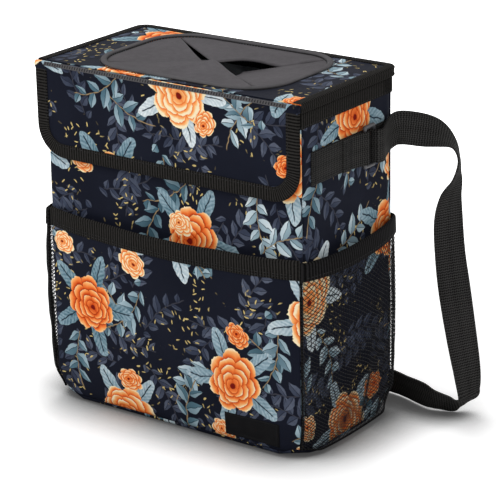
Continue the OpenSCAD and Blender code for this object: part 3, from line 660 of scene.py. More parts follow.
HOOKS = fuzzy("hook_and_loop", srgb(18, 18, 19), srgb(58, 58, 60))

# The solids that stay in sight: the lid's foam, at the opening's edge, and the rings
for name, material in (("lid_board", LID_FOAM), ("left_ring", PLASTIC), ("right_ring", PLASTIC)):
    mesh = nodes[name].data
    mesh.materials.clear()
    mesh.materials.append(material)
    if material == PLASTIC:
        mesh.polygons.foreach_set("use_smooth", np.ones(len(mesh.polygons), bool))
        mesh.set_sharp_from_angle(angle=math.radians(50))

# Camera: solved from the corners of the body in the photograph
azimuth, elevation, roll = math.radians(36.239), math.radians(19.409), math.radians(-1.1071)
target, distance = np.array([27.405, 0.0, 128.420]), 1724.17
back = np.array([math.sin(azimuth) * math.cos(elevation), -math.cos(azimuth) * math.cos(elevation),
                 math.sin(elevation)])
right = np.array([math.cos(azimuth), math.sin(azimuth), 0.0])
up = np.cross(back, right)
axes = (right * math.cos(roll) + up * math.sin(roll), up * math.cos(roll) - right * math.sin(roll), back,
        (target + back * distance) * MM)
camera = bpy.data.objects.new("camera", bpy.data.cameras.new("camera"))
bpy.context.scene.collection.objects.link(camera)
camera.matrix_world = Matrix([[a[k] for a in axes] for k in range(3)] + [(0, 0, 0, 1)])
camera.data.sensor_width = 36.0
camera.data.sensor_fit = "HORIZONTAL"
camera.data.lens = 166.4
bpy.context.scene.camera = camera

stitches = {"root": Bundle(), "lid": Bundle(), "flap": Bundle()}
overcast = Bundle()


# Body cloth: four panels with soft puckers that dip into the corner seams

def panel(name, edge, seed):
    """edge holds x, y, outward x and outward y at each place along the wall."""
    edge = np.asarray(edge, float)
    s = lengths(edge[:, :2])
    z0, z1 = EDGE_R, WALL_TOP - 0.4
    S, Z = np.meshgrid(s, np.linspace(z0, z1, 66), indexing="ij")
    from_seam = np.minimum(S, s[-1] - S)
    out = 0.28 * waves(S, Z, 85, seed) + 0.22 * waves(S * 0.6, Z, 22, seed + 1) * np.exp(-from_seam / 12)
    out = np.clip(out, -0.6, 0.55) * ease(from_seam, 0, 10) - 0.75 * (1 - ease(from_seam, 0, 1.8))
    out = out * ease(z1 - Z, -6, 8) * ease(Z - z0, -6, 8)
    x, y, nx, ny = (np.repeat(edge[:, k, None], Z.shape[1], 1) for k in range(4))
    outer = np.stack([x + nx * out, y + ny * out, Z], -1)
    inner = outer - np.stack([nx, ny, np.zeros_like(Z)], -1) * 0.35
    u0, v0 = PRINT_AT[name]
    shape = shell(outer, inner, np.stack([S + u0, Z + v0], -1))
    obj = add_piece("cloth_" + name, shape, "root", PRINT, stands_for=[name + "_panel"])


def long_edge(side):
    """Front (1) or back (-1) wall with its corners, from left to right seen from outside."""
    turn = arc(0, PI / 2, 7)
    hx, hy = HALF_W - CORNER_R, HALF_D - CORNER_R

    def corner(x, nx, ny):
        return x + CORNER_R * nx, -hy + CORNER_R * ny, nx, ny
    pts = [corner(-hx, -math.cos(a), -math.sin(a)) for a in turn]
    pts += [(x, -HALF_D, 0.0, -1.0) for x in np.linspace(-hx, hx, 76)[1:-1]]
    pts += [corner(hx, math.sin(a), -math.cos(a)) for a in turn]
    return np.array(pts) * side


def short_edge(side):
    end = HALF_D - CORNER_R
    return [(side * HALF_W, y * side, side, 0.0) for y in np.linspace(-end, end, 44)]


panel("front", long_edge(1), 3)
panel("right", short_edge(1), 5)
panel("back", long_edge(-1), 7)
panel("left", short_edge(-1), 9)

# Base: the cloth turns under at a rounded edge
rows = []
for k in range(7):
    ring = round_rect(HALF_W - EDGE_R, HALF_D - EDGE_R, 1.0) * (0.02 + 0.98 * k / 6)
    rows.append((at_height(ring, 0.0), ring))
for a in arc(0, PI / 2, 9)[1:]:
    inset = EDGE_R * (1 - math.sin(a))
    ring = round_rect(HALF_W - inset, HALF_D - inset, max(CORNER_R * math.sin(a), 1.0))
    rows.append((at_height(ring, EDGE_R * (1 - math.cos(a))), ring * (1 + 0.02 * a)))
outer = np.stack([r for r, _ in rows], 1)
uv = np.stack([u for _, u in rows], 1) + np.array(PRINT_AT["base"])
inner = outer * np.array([0.992, 0.985, 1.0]) + np.array([0, 0, 0.7])
inner[..., 2] = np.minimum(inner[..., 2], EDGE_R)
base_cloth = add_piece("cloth_base", shell(outer, inner, uv, wrap=True), "root", PRINT,
                       stands_for=["base_panel"])

# Front pocket: a bulging cloth that sags at its mouth and turns round the corners at its ends
POCKET_H, POCKET_BULGE, POCKET_SAG, POCKET_HALF = 154.0, 8.0, 3.0, 111.0


def pocket_share(s):
    return np.cos(np.pi / 2 * np.clip(s / POCKET_HALF, -1, 1))


def pocket_mouth(s):
    return POCKET_H - POCKET_SAG * pocket_share(s)


def pocket_point(s, z, out=0.0):
    """A point of the pocket's outer face: s runs across it, past the ends round the corners."""
    over = np.maximum(np.abs(s) - POCKET_HALF, 0) / (CORNER_R + CLOTH_T)
    rise = np.sin(np.pi / 2 * np.clip((z - EDGE_R) / (POCKET_H - EDGE_R), 0, 1))
    off = POCKET_BULGE * np.maximum(pocket_share(s), 0) ** 0.6 * rise ** 0.8
    x = np.sign(s) * (np.minimum(np.abs(s), POCKET_HALF) + (CORNER_R + CLOTH_T + out) * np.sin(over))
    y = -(HALF_D - CORNER_R) - (CORNER_R + CLOTH_T + out) * np.cos(over) - off
    return np.stack([x, y, np.broadcast_to(z, np.shape(x))], -1)


def pocket_wrinkle(s, z):
    edge = np.minimum(POCKET_HALF + 5 - np.abs(s), z - EDGE_R)
    up = (z - EDGE_R) / (POCKET_H - EDGE_R)
    soft = 0.5 * waves(s, z * 0.45, 62, 21) + 0.3 * waves(s * 0.5 + z * 0.4, z - s * 0.3, 30, 22)
    tight = 0.4 * waves(s * 0.7, z, 13, 23) * np.exp(-np.maximum(edge, 0) / 7)
    foot = 0.5 * waves(s, z * 0.3, 17, 24) * np.exp(-(z - EDGE_R) / 12)
    return (soft * (0.4 + 0.6 * up) + tight + foot) * ease(edge, 0, 9)


def at_mouth(s, dz, out):
    """A place on the wrinkled pocket, counted up from its mouth."""
    top = pocket_mouth(np.array(s))
    q = pocket_point(np.array(s), top + dz, out)
    q[1] -= pocket_wrinkle(np.array(s), top + min(dz, 0)) * ease(abs(s), 116, 104)
    return q


def across_pocket(reach, ends, count):
    """Places across the pocket and round its corners."""
    side = np.linspace(POCKET_HALF, reach, ends)[1:]
    return np.concatenate([-side[::-1], np.linspace(-POCKET_HALF, POCKET_HALF, count), side])


S, K = np.meshgrid(across_pocket(114.2, 6, 124), np.linspace(0, 1, 84), indexing="ij")
Z = mix(EDGE_R + 0.2, pocket_mouth(S), K)
wrinkle = pocket_wrinkle(S, Z) * ease(np.abs(S), 116, 104)
outer = pocket_point(S, Z)
outer[..., 1] -= wrinkle - 0.9 * (1 - ease(Z, EDGE_R, EDGE_R + 5))
inner = pocket_point(S, Z, -1.0)
inner[..., 1] = np.maximum(outer[..., 1] + 0.9, inner[..., 1] - wrinkle)
uv = np.stack([S, Z], -1) + np.array(PRINT_AT["pocket"])
pocket = add_piece("pocket_cloth", shell(outer, inner, uv), "root", PRINT,
                   stands_for=["front_pocket"])

# Out from the cloth's outer face, and up from the mouth
outline = folded([(0.45, -14), (0.6, -11.5), (0.6, -7), (0.6, -2.2), (0.45, -0.6), (-0.35, 0.4),
                  (-1.15, -0.6), (-1.4, -2.2), (-1.45, -7), (-1.45, -12.5)], 0.8)
line = across_pocket(114.6, 4, 120)
rings = [[at_mouth(s, dz, o) for o, dz in outline] for s in line]
pocket_tape = add_piece("pocket_mouth_tape", sweep(rings, line + 300), "root", TAPE,
                        stands_for=["front_pocket_binding"], sharp=60)
for dz in (-12.2, -10.2):
    row = np.array([at_mouth(s, dz, 1.1) for s in np.linspace(-110, 110, 90)])
    stitches["root"].stitch(row, (0, -1, 0), radius=0.24, length=2.3)

# Bare patch, sewn on the pocket's lower corner, with a raised border
PATCH_X, PATCH_Z = (48.0, 96.0), (7.5, 25.5)
X, Z = np.meshgrid(np.linspace(*PATCH_X, 60), np.linspace(*PATCH_Z, 26), indexing="ij")
from_edge = np.minimum(np.minimum(X - PATCH_X[0], PATCH_X[1] - X), np.minimum(Z - PATCH_Z[0], PATCH_Z[1] - Z))
inner = pocket_point(X, Z)
outer = inner.copy()
inner[..., 1] -= pocket_wrinkle(X, Z) - 0.3
outer[..., 1] -= (pocket_wrinkle(X, Z) + 0.9 * ease(from_edge, -0.2, 0.7) - 0.35 * ease(from_edge, 1.7, 2.3)
                  + 0.25)
add_piece("bare_patch", shell(outer, inner, np.stack([X, Z], -1)), "root", RUBBER,
          stands_for=["label_patch"], sharp=50)


# Stiffening boards between the cloth and the liner, soft at their lower corners like the cloth

def board(name, low, high, thin):
    wide, tall = [k for k in range(3) if k != thin]
    upright = np.concatenate([np.linspace(low[2], 28, 11), np.linspace(36, high[2], 12)])
    steps = [np.linspace(low[k], high[k], 61) if k < 2 else upright for k in (wide, tall)]
    A, B = np.meshgrid(*steps, indexing="ij")
    sides = []
    for level in (high[thin], low[thin]):
        grid = np.zeros(A.shape + (3,))
        grid[..., wide], grid[..., tall], grid[..., thin] = A, B, level
        sides.append(grid)
    add_piece(name + "_foam", shell(*sides, np.stack([A, B], -1)), "root", BOARD, stands_for=[name],
              sharp=60)


bx, by = HALF_W - CORNER_R, HALF_D - CORNER_R
board("base_board", (-bx, -by, CLOTH_T), (bx, by, BOARD_IN), 2)
board("front_board", (-bx, CLOTH_T - HALF_D, EDGE_R), (bx, BOARD_IN - HALF_D, WALL_TOP), 1)
board("back_board", (-bx, HALF_D - BOARD_IN, EDGE_R), (bx, HALF_D - CLOTH_T, WALL_TOP), 1)
board("left_board", (CLOTH_T - HALF_W, -by, EDGE_R), (BOARD_IN - HALF_W, by, WALL_TOP), 0)
board("right_board", (HALF_W - BOARD_IN, -by, EDGE_R), (HALF_W - CLOTH_T, by, WALL_TOP), 0)

# Nets: knitted strands that cross in diamonds, with an elastic binding at the mouth
NET_HALF, NET_FRONT_H, NET_BACK_H, NET_SAG = 56.0, 152.0, 156.5, 1.5
NET_FOOT, NET_BULGE, NET_T, YARN_R = 5.0, 14.0, 1.0, 0.28
NET_COLS, NET_ROWS = 50, 98


def net_mouth(s):
    return mix(NET_FRONT_H, NET_BACK_H, s) - NET_SAG * np.sin(np.pi * s)


def net_bulge(s, h, side):
    """The left net stands fuller at its front corner, where it shows past the front pocket."""
    front = 0.7 if side > 0 else 0.25
    swell = mix(NET_FOOT, NET_BULGE, np.sin(0.85 * np.pi * h))
    return swell * np.maximum(np.sin(np.pi * s), 0) ** mix(front, 0.45, s)


def net_point(s, h, out=0.0, side=1):
    """A point of the net: s runs from the front seam to the back seam, h from the foot to the mouth."""
    s, h = np.asarray(s, float), np.asarray(h, float)
    run = mix(-1.0, 1.0, s) * (NET_HALF + CORNER_R * PI / 4)
    over = np.maximum(np.abs(run) - NET_HALF, 0) / CORNER_R
    r = CORNER_R + net_bulge(s, h, side) + out
    y = np.sign(run) * (np.minimum(np.abs(run), NET_HALF) + r * np.sin(over))
    return np.stack([side * (HALF_W - CORNER_R + r * np.cos(over)), y, mix(EDGE_R, net_mouth(s), h)], -1)


def net_hang(s, dz, out, side):
    """A place on the slack binding, counted up from the net's mouth."""
    top = float(net_mouth(s))
    h = (top + min(dz, 0) - EDGE_R) / (top - EDGE_R)
    q = net_point(s, h, NET_T + out + 0.35 * math.sin(s * 9) * math.sin(PI * s), side)
    return q[0], q[1], top + dz


def knitted(side):
    """The yarns between crossings that are pulled out of line, as thin three-sided bars."""
    r = np.random.default_rng(31 + side)
    ids = {}
    for i in range(NET_COLS + 1):
        for j in range(i % 2, NET_ROWS + 1, 2):
            ids[i, j] = len(ids)
    s, h = np.array(list(ids)).T / np.array([[NET_COLS], [NET_ROWS]])
    inside = (s > 0) & (s < 1) & (h > 0) & (h < 1)
    pull = 0.006 * waves(s * 100, h * 150, 34, 41 + side) - 0.018 * np.sin(2 * np.pi * s)
    s2 = np.clip(s + (pull + r.normal(0, 0.0009, len(s))) * inside, 0, 1)
    h2 = np.clip(h + (0.008 * waves(s * 100, h * 150, 40, 51 + side) - 0.05 * np.sin(np.pi * h)
                      + r.normal(0, 0.0008, len(s))) * inside, 0, 1)
    folds = 0.5 * waves(s * 110, h * 150, 45, 61) + 1.3 * waves(s * 112, h * 20, 17, 63) * (1 - 0.75 * h)
    folds = folds * ease(np.minimum(s, 1 - s), 0, 0.12) * ease(h, 0, 0.08)
    pts = net_point(s2, h2, 0.45 + np.maximum(folds, 0.2 - 0.7 * net_bulge(s, h, side)), side)
    ends = np.array([(k, ids[i + 1, j + dj]) for (i, j), k in ids.items() if i < NET_COLS
                     for dj in (-1, 1) if 0 <= j + dj <= NET_ROWS])
    a, b = pts[ends[:, 0]], pts[ends[:, 1]]
    t = unit(b - a)
    w = unit(np.cross(t, np.array([side, 0.0, 0.0])))
    n = np.cross(w, t)
    offs = [n * YARN_R, (0.95 * w - 0.5 * n) * YARN_R, (-0.95 * w - 0.5 * n) * YARN_R]
    verts = np.stack([a + o for o in offs] + [b + o for o in offs], 1).reshape(-1, 3)
    one = [(0, 1, 4, 3), (1, 2, 5, 4), (2, 0, 3, 5), (2, 1, 0), (3, 4, 5)]
    return verts, [tuple(v + 6 * k for v in f)[::side] for k in range(len(a)) for f in one], None


def side_net(side):
    name = "right" if side > 0 else "left"
    net = add_piece(name + "_knitted_net", knitted(side), "root", NET, stands_for=[name + "_net"])
    # Hem of the net along the side seams and the foot, and on the left the net's folds at its front seam
    path = np.vstack([net_point(0.004, h, 0.2, side) for h in np.linspace(1, 0, 30)]
                     + [net_point(s, 0.0, 0.3, side) for s in np.linspace(0.01, 0.99, 30)]
                     + [net_point(0.996, h, 0.2, side) for h in np.linspace(0, 1, 30)])
    hems = [add_piece(name + "_net_hem", tube(path, 0.8, up=(side, 0, 0)), "root", ELASTIC)]
    for k, place in enumerate((0.017, 0.034, 0.052) if side < 0 else ()):
        path = np.array([net_point(place + 0.006 * math.sin(h * 23 + 2 * k), h, 0.5, side)
                         for h in np.linspace(0.02, 0.93, 60)])
        fold = tube(path, 0.85, up=(side, 0, 0))
        hems.append(add_piece("left_net_gather_%d" % (k + 1), fold, "root", NET))
    # Elastic binding
    outline = folded([(0.45, -13), (0.5, -9), (0.5, -2.2), (0.35, -0.6), (-0.45, 0.4), (-1.2, -0.6),
                      (-1.4, -2.2), (-1.45, -7), (-1.45, -12)], 0.7)
    line = np.linspace(0, 1, 60)
    rings = [[net_hang(s, dz, o, side) for o, dz in outline] for s in line]
    tape = add_piece(name + "_net_elastic", sweep(rings, line * 120), "root", ELASTIC,
                     stands_for=[name + "_net_binding"], sharp=60)
    row = np.array([net_hang(s, -10.5, 0.85, side) for s in np.linspace(0.02, 0.98, 40)])
    stitches["root"].stitch(row, (side, 0, 0), radius=0.22, length=2.2)


side_net(1)
side_net(-1)

# Rim band folded over the top of the walls: out from the wall, and the height
outline = folded([(0.6, 250.3), (0.75, 252), (0.75, 256), (0.75, 260.2), (0.4, 261.3), (-0.6, 261.6),
                  (-2.2, 261.6), (-3.8, 261.6), (-4.7, 261.2), (-5.0, 260.2), (-5.0, 256), (-5.0, 252)], 0.8)
base = round_rect(HALF_W, HALF_D, CORNER_R, 5)
away = right_of(heading(base, True))
rim = add_piece("rim_tape", sweep(edge_rings(base, away, outline), lengths(base), closed=True), "root",
                TAPE, stands_for=["rim_band"], sharp=60)
stitches["root"].stitch(at_height(base + away * 1.1, 251.6), at_height(away, 0.0), radius=0.24, length=2.3,
                        closed=True)

# Liner: a welded film box with soft creases
LINER_FLOOR, LINER_TOP = 4.2, 260.6
base = round_rect(HALF_W - LINER_IN, HALF_D - LINER_IN, 1.0, 4)
away = right_of(heading(base, True))[:, None]
S, Z = np.meshgrid(lengths(base), np.linspace(4.4, LINER_TOP, 60), indexing="ij")
give = -0.3 - 0.35 * (1 + waves(S, Z, 46, 71)) * ease(LINER_TOP - Z, 0, 30) * ease(Z, 4, 30)
walls = np.concatenate([base[:, None] + away * give[..., None], Z[..., None]], -1)
floor = np.stack([at_height(base * f, LINER_FLOOR) for f in np.linspace(0.02, 0.97, 8)], 1)
outer = np.concatenate([floor, walls], 1)
uv = np.concatenate([floor[..., :2] + np.array([0, 600.0]), np.stack([S, Z], -1)], 1)
inner = outer.copy()
inner[:, 8:, :2] += away * 0.45
inner[:, :8, 2] -= 0.6
liner = add_piece("liner_film_box", shell(outer, inner, uv, wrap=True), "root", LINER,
                  stands_for=["inner_liner"])

# Lid: top cloth and lining, both with the opening cut out and with their edge under the binding
CUT_IN, LID_CLOTH_T = 1.0, 0.8


def open_outline(n, grow=0.0):
    return round_rect(OPEN_W / 2 + grow, OPEN_D / 2 + grow, OPEN_R + grow, n, OPEN_Y)


def ray_in_opening(x0, y0, angles, far, rounds):
    """How far a ray from a place in the opening runs until it meets the opening's outline, by halving."""
    lo, hi = np.zeros(len(angles)), np.full(len(angles), far)
    for _ in range(rounds):
        mid = (lo + hi) / 2
        qx = np.maximum(np.abs(x0 + np.cos(angles) * mid) - OPEN_W / 2 + OPEN_R, 0)
        qy = np.maximum(np.abs(y0 - OPEN_Y + np.sin(angles) * mid) - OPEN_D / 2 + OPEN_R, 0)
        within = np.hypot(qx, qy) <= OPEN_R
        lo, hi = np.where(within, mid, lo), np.where(within, hi, mid)
    return lo


def ray_to_lid(a):
    """Distance from the opening's centre to the lid's outline at an angle."""
    hw, y_back, y_front = LID_X - CUT_IN, LID_BACK - CUT_IN - OPEN_Y, LID_FRONT - OPEN_Y
    c, s = math.cos(a), math.sin(a)
    t = min(hw / max(abs(c), 1e-9), (y_back if s > 0 else y_front) / (s or 1e-9))
    r = LID_R - CUT_IN
    cx, cy = math.copysign(hw - r, c), y_back - r
    if abs(c * t) > abs(cx) and s * t > cy:
        b = c * cx + s * cy
        t = b + math.sqrt(max(b * b - (cx * cx + cy * cy - r * r), 0))
    return t


def lid_sheet(name, z, seed, lift, material, at, node):
    """A cloth of the lid between the opening's outline and the lid's."""
    loop = open_outline(16)
    corners = [math.atan2(sy - OPEN_Y, sx) for sx in (CUT_IN - LID_X, LID_X - CUT_IN)
               for sy in (LID_FRONT, LID_BACK - CUT_IN - 0.3 * LID_R)]
    angles = np.sort(np.concatenate([np.arctan2(loop[:, 1] - OPEN_Y, loop[:, 0]), corners]))
    near = ray_in_opening(0.0, OPEN_Y, angles, 140.0, 40)[:, None]
    far = np.array([ray_to_lid(a) for a in angles])[:, None]
    T, A = np.meshgrid(np.linspace(0, 1, 15), angles)
    R = near + (far - near) * T
    X, Y = R * np.cos(A), OPEN_Y + R * np.sin(A)
    edge = np.minimum(np.minimum(LID_X - CUT_IN - np.abs(X), Y - LID_FRONT), LID_BACK - CUT_IN - Y)
    up = lift * (0.5 + 0.5 * waves(X, Y, 34, seed)) * ease(edge, 0, 6) * ease(R - near, 0, 6)
    outer = np.stack([X, Y, z + up], -1)
    inner = np.stack([X, Y, np.full_like(X, z - LID_CLOTH_T)], -1)
    shape = shell(outer, inner, np.stack([X, Y], -1) + np.array(at), wrap=True)
    return add_piece(name, shape, "lid", material, stands_for=[node])


top = lid_sheet("lid_top_cloth", LID_FACE, 81, 0.45, PRINT, PRINT_AT["lid"], "lid_panel")
under = lid_sheet("lid_underside_cloth", LID_UNDER + 0.9, 82, 0.0, LINING, (0, 0), "lid_lining")


def round_three_sides(start, end, r, counts):
    """Points from start along the lid's left side, round two corners at end and back along its right side."""
    way = math.copysign(1, end - start)
    cx, corner = LID_X - r, end - way * r
    left = [(-LID_X, v) for v in np.linspace(start, corner, counts[0])]
    left += [(-cx - r * math.cos(a), corner + way * r * math.sin(a)) for a in arc(0, PI / 2, counts[1])[1:]]
    middle = [(x, end) for x in np.linspace(-cx, cx, counts[2])[1:-1]]
    return np.array(left + middle + [(-x, v) for x, v in left[::-1]])


# Lid binding: a ribbed tape between two piped edges, round the sides and the back
path = round_three_sides(LID_FRONT, LID_BACK, LID_R, (40, 10, 60))
inward = right_of(heading(path))
# In from the edge, and the height
outline = folded([(4.4, 262.8), (2.2, 262.8), (0.9, 262.95), (0.42, 263.6), (0.7, 264.6), (0.95, 266.2),
                  (0.7, 267.8), (0.42, 268.8), (0.9, 269.45), (2.2, 269.7), (4.6, 269.7), (7.8, 269.65)], 0.75)
lid_tape = add_piece("lid_edge_tape", sweep(edge_rings(path, inward, outline), lengths(path)), "lid",
                     TAPE, stands_for=["lid_binding"], sharp=60)
stitches["lid"].stitch(at_height(path + inward * 6.4, 270.05), (0, 0, 1), radius=0.24, length=2.2, lift=0.05)

# The soft piped border round the opening, with a row of dark stitches in the groove on both sides; these dark
# rows also stand for the shade in the grooves, so they are partly painted shade
path = at_height(open_outline(12, BORDER_W / 2), LID_FACE + BORDER_H / 2 - 0.1)
ring = tube(path, BORDER_W / 2 - 0.1, 16, closed=True, flat=BORDER_H / BORDER_W)
add_piece("opening_soft_border", ring, "lid", PIPING, stands_for=["opening_piping"])
# Dark stitch rows in both grooves: seams, and painted groove shade
for grow, height in ((0.0, 0.3), (BORDER_W + 0.5, 0.15)):
    row = at_height(open_outline(12, grow), LID_FACE + height)
    stitches["lid"].stitch(row, (0, 0, 1), radius=0.3, pitch=2.6, length=2.4, closed=True, lift=0.05)

# Petals: four pieces of stretch cloth that share the opening's outline and one meeting point
MEET = np.array([-0.032 * OPEN_W, 0.029 * OPEN_D])
SLIT, PETAL_T, TIP = 0.4, 2.0, 0.985
LEFT_SINK, RIGHT_SINK, RIGHT_END = 7.0, 9.0, 0.76
BACK_DIP, BACK_LIFT, FRONT_PUFF, TIP_PUFF = 4.0, 1.6, 1.5, 2.0


def slit_angle(sx, sy):
    """The direction of the slit that ends at this share of the opening's half sizes."""
    return math.atan2(OPEN_Y + sy * OPEN_D / 2 - MEET[1], sx * OPEN_W / 2 - MEET[0])


def petal(name, a0, a1, tip, height, bow=0.0):
    across, along = 56, 30
    angles = mix(a0, a1, np.arange(across + 1) / across)
    reach = ray_in_opening(*MEET, angles, OPEN_W, 30)[:, None]
    rim = MEET + reach * np.stack([np.cos(angles), np.sin(angles)], 1)
    side0, side1 = unit(rim[0] - MEET), unit(rim[-1] - MEET)
    start = MEET + (SLIT / 2 / math.sin((a1 - a0) / 2)) * unit(side0 + side1)
    rim[0] += SLIT / 2 * np.array([-side0[1], side0[0]])
    rim[-1] += SLIT / 2 * np.array([side1[1], -side1[0]])
    # Columns lie closer together at both slits
    even = np.arange(across + 1) / across
    u = mix(0.5 - 0.5 * np.cos(np.pi * even), even, 0.6)
    rim = np.stack([np.interp(u, even, rim[:, k]) for k in (0, 1)], 1)
    V, U = np.meshgrid(np.linspace(0, 1, along + 1), u)
    P = rim[:, None] + (start - rim[:, None]) * (V * tip)[..., None]
    P += (bow * np.sin(PI * V ** 1.4) * (1 - U) ** 4)[..., None] * np.array([-side0[1], side0[0]])
    length = np.linalg.norm(start - rim, axis=1)[:, None]
    near = np.minimum(np.minimum(U, 1 - U) * length * (1 - V * tip) * (a1 - a0), (1 - V) * length * tip)
    hem = 0.35 * hump(near, 2.2, 1.3) * ease(V, 0.02, 0.1)
    round_off = 0.75 * (1 - ease(near, 0, 1.1))
    folds = 0.3 * waves(P[..., 0], P[..., 1], 26, 91 + len(name)) * ease(V, 0.0, 0.2) * ease(near, 0, 8)
    z = LID_FACE + height(U, V * tip) + folds
    upper = np.concatenate([P, (z + hem - round_off)[..., None]], -1)
    lower = np.concatenate([P, (z - PETAL_T + round_off)[..., None]], -1)
    upper[:, 0, 2] = LID_FACE + 0.1
    obj = add_piece(name + "_stretch", shell(upper, lower, P), "lid", STRETCH,
                    stands_for=[name + "_petal"], sharp=75)
    span = np.ptp(P.reshape(-1, 2), axis=0)
    area = 0.5 * abs(np.sum(np.cross(rim[1:] - start, rim[:-1] - start))) * tip
    max(area * MM * MM, 0.31 * span[0] * span[1] * MM * MM)


back_left, back_right = slit_angle(-0.955, 0.941), slit_angle(0.844, 0.897)
front_right, front_left = slit_angle(0.844, -0.805), slit_angle(-0.932, -0.847)
petal("left", back_left, front_left + 2 * PI, TIP, lambda u, v: -LEFT_SINK * v ** 1.8, bow=2.4)
petal("back", back_right, back_left, TIP, bow=0.8, height=lambda u, v: (
    BACK_LIFT * hump(v, 0.75, 0.18) - BACK_DIP * hump(v, 0.36, 0.17)) * (1 - u) ** 1.6 - 1.2 * v)
petal("right", front_right, back_right, RIGHT_END,
      lambda u, v: -RIGHT_SINK * (v / RIGHT_END) ** mix(2.5, 0.9, u))
petal("front", front_left, front_right, TIP, lambda u, v: (
    FRONT_PUFF * np.sin(np.pi * v) * np.sin(np.pi * u) + TIP_PUFF * hump(v, 0.86, 0.2) * u ** 1.5))


# Flap: cloth folded over the lid's front edge, with its binding

def flap_half(z, inset=1.0):
    """Half the cloth's width at a height: the lower corners are round."""
    r = FLAP_R - inset
    d = np.clip(r - (z - FLAP_LOW - inset), 0, r)
    return LID_X - inset - r + np.sqrt(np.maximum(r * r - d * d, 0))


def flap_grid(rows):
    cols = np.linspace(-1, 1, 110)
    out = []
    for y, z in rows:
        half = float(flap_half(min(z, 245.0)))
        x, level = cols * half, np.full_like(cols, z)
        edge = np.minimum(half - np.abs(x), z - FLAP_LOW)
        puff = (0.32 * waves(x, level, 70, 101) + 0.45 * waves(x, level * 0.5, 20, 102)
                * math.exp(-max(262 - z, 0) / 14)) * ease(z, 266, 256) * ease(edge, 6, 20)
        out.append(np.stack([x, y - puff, level], 1))
    return np.array(out)


levels = np.concatenate([FLAP_LOW + 1.0 + (1 - np.cos(arc(0, PI / 2, 18))) * 24, np.linspace(222, 261.5, 34)])
front, rear = ([(FLAP_Y - 0.7 * face, z) for z in levels] for face in (1, -1))
for a in arc(math.radians(205), math.radians(90), 14):
    front.append((FLAP_Y + FOLD_R * math.cos(a), FOLD_Z + FOLD_R * math.sin(a)))
    rear.append((FLAP_Y - FOLD_R * math.cos(a), FOLD_Z + FOLD_R * math.sin(a)))
outer, inner = flap_grid(front), flap_grid(rear)
u0, v0 = PRINT_AT["flap"]
uv = np.stack([outer[..., 0] + u0, np.repeat((lengths(front) + v0)[:, None], outer.shape[1], 1)], -1)
flap = add_piece("flap_cloth", shell(outer, inner, uv), "flap", PRINT,
                 stands_for=["flap_panel"], weld=True)

FLAP_TAPE_TOP = 263.4
line = round_three_sides(FLAP_TAPE_TOP, FLAP_LOW, FLAP_R, (26, 16, 64))
inward = -right_of(heading(line))
# In from the edge, and out from the flap's middle plane
outline = folded([(11.0, 1.05), (9.0, 1.1), (5.5, 1.1), (2.2, 1.05), (0.9, 0.8), (0.4, 0.0), (0.9, -0.8),
                  (2.2, -1.05), (5.5, -1.1), (9.0, -1.1), (11.0, -1.05)], 0.72)
rings = [[(x + ix * i, FLAP_Y - o, z + iz * i) for i, o in outline] for (x, z), (ix, iz) in zip(line, inward)]
flap_tape = add_piece("flap_edge_tape", sweep(rings, lengths(line)), "flap", TAPE,
                      stands_for=["flap_binding"], sharp=60)
for face in (-1, 1):
    row = np.insert(line + inward * 9.6, 1, FLAP_Y + 1.42 * face, axis=1)
    stitches["flap"].stitch(row, (0, face, 0), radius=0.24, length=2.2)

# Overcast seam along the fold: dark bars over a grey strip; the strip stands for the sheen along the fold, a
# painted highlight
turn = math.radians(148)
out, bar = np.array([0, math.cos(turn), math.sin(turn)]), np.array([0, math.sin(turn), -math.cos(turn)])
row = np.array([(x, FLAP_Y, FOLD_Z) + out * (FOLD_R - 0.03) for x in np.arange(-107.5, 107.6, 2.35)])
one = np.ones((len(row), 1))
overcast.threads(row, one * bar, one * out, one * (1.75, 0, 0), 2.9, 0.3, 0.0)
# Painted highlight: a grey strip for the sheen along the fold
strip = [(x, FLAP_Y, FOLD_Z) + out * (FOLD_R - 0.2) for x in np.linspace(-109, 109, 60)]
add_piece("fold_sheen_strip", tube(strip, 1.6, 12, flat=0.2, up=out), "flap", PIPING)


# Hook and loop strips: pads with a fuzzy face

def fuzzy_pad(name, y_back, y_front, body, node):
    X, Z = np.meshgrid(np.linspace(-40, 40, 90), np.linspace(STRIP_Z - 10, STRIP_Z + 10, 26), indexing="ij")
    edge = np.minimum(40 - np.abs(X), 10 - np.abs(Z - STRIP_Z))
    share = 0.45 + 0.5 * ease(edge, 0, 1.2) + 0.05 * waves(X, Z, 3, 111) * ease(edge, 1, 2)
    depth = (y_front - y_back) * share
    outer, inner = (np.stack([X, y, Z], -1) for y in (y_back + depth, np.full_like(X, y_back)))
    add_piece(name, shell(outer, inner, np.stack([X, Z], -1)), body, HOOKS, stands_for=[node])


fuzzy_pad("loop_pad", -59.9, -61.6, "root", "loop_strip")
fuzzy_pad("hook_pad", -63.7, -62.0, "flap", "hook_strip")

# Hinge tape: sewn on the rim's back, it bends over the hinge line into the lid's edge
outline = [(61.2, 250.6), (62.0, 250.3), (62.6, 251.2), (62.7, 258.5), (63.3, 260.6), (64.6, 261.4),
           (65.4, 262.4), (64.9, 263.6), (63.8, 264.6), (63.4, 265.6), (62.9, 264.6), (63.9, 263.2),
           (64.2, 262.4), (63.4, 261.8), (62.2, 261.2), (61.5, 259.6)]
line = np.linspace(-110.5, 110.5, 60)
pts, faces, uv = sweep([[(x, y, z) for y, z in outline] for x in line], line)
hinge = add_piece("hinge_tape", (pts, faces, uv[:, ::-1]), None, TAPE,
                  stands_for=["lid_hinge_tape"], sharp=60)
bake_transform(hinge)


# Tabs: webbing sewn to the sides, turned round the rings' front bars

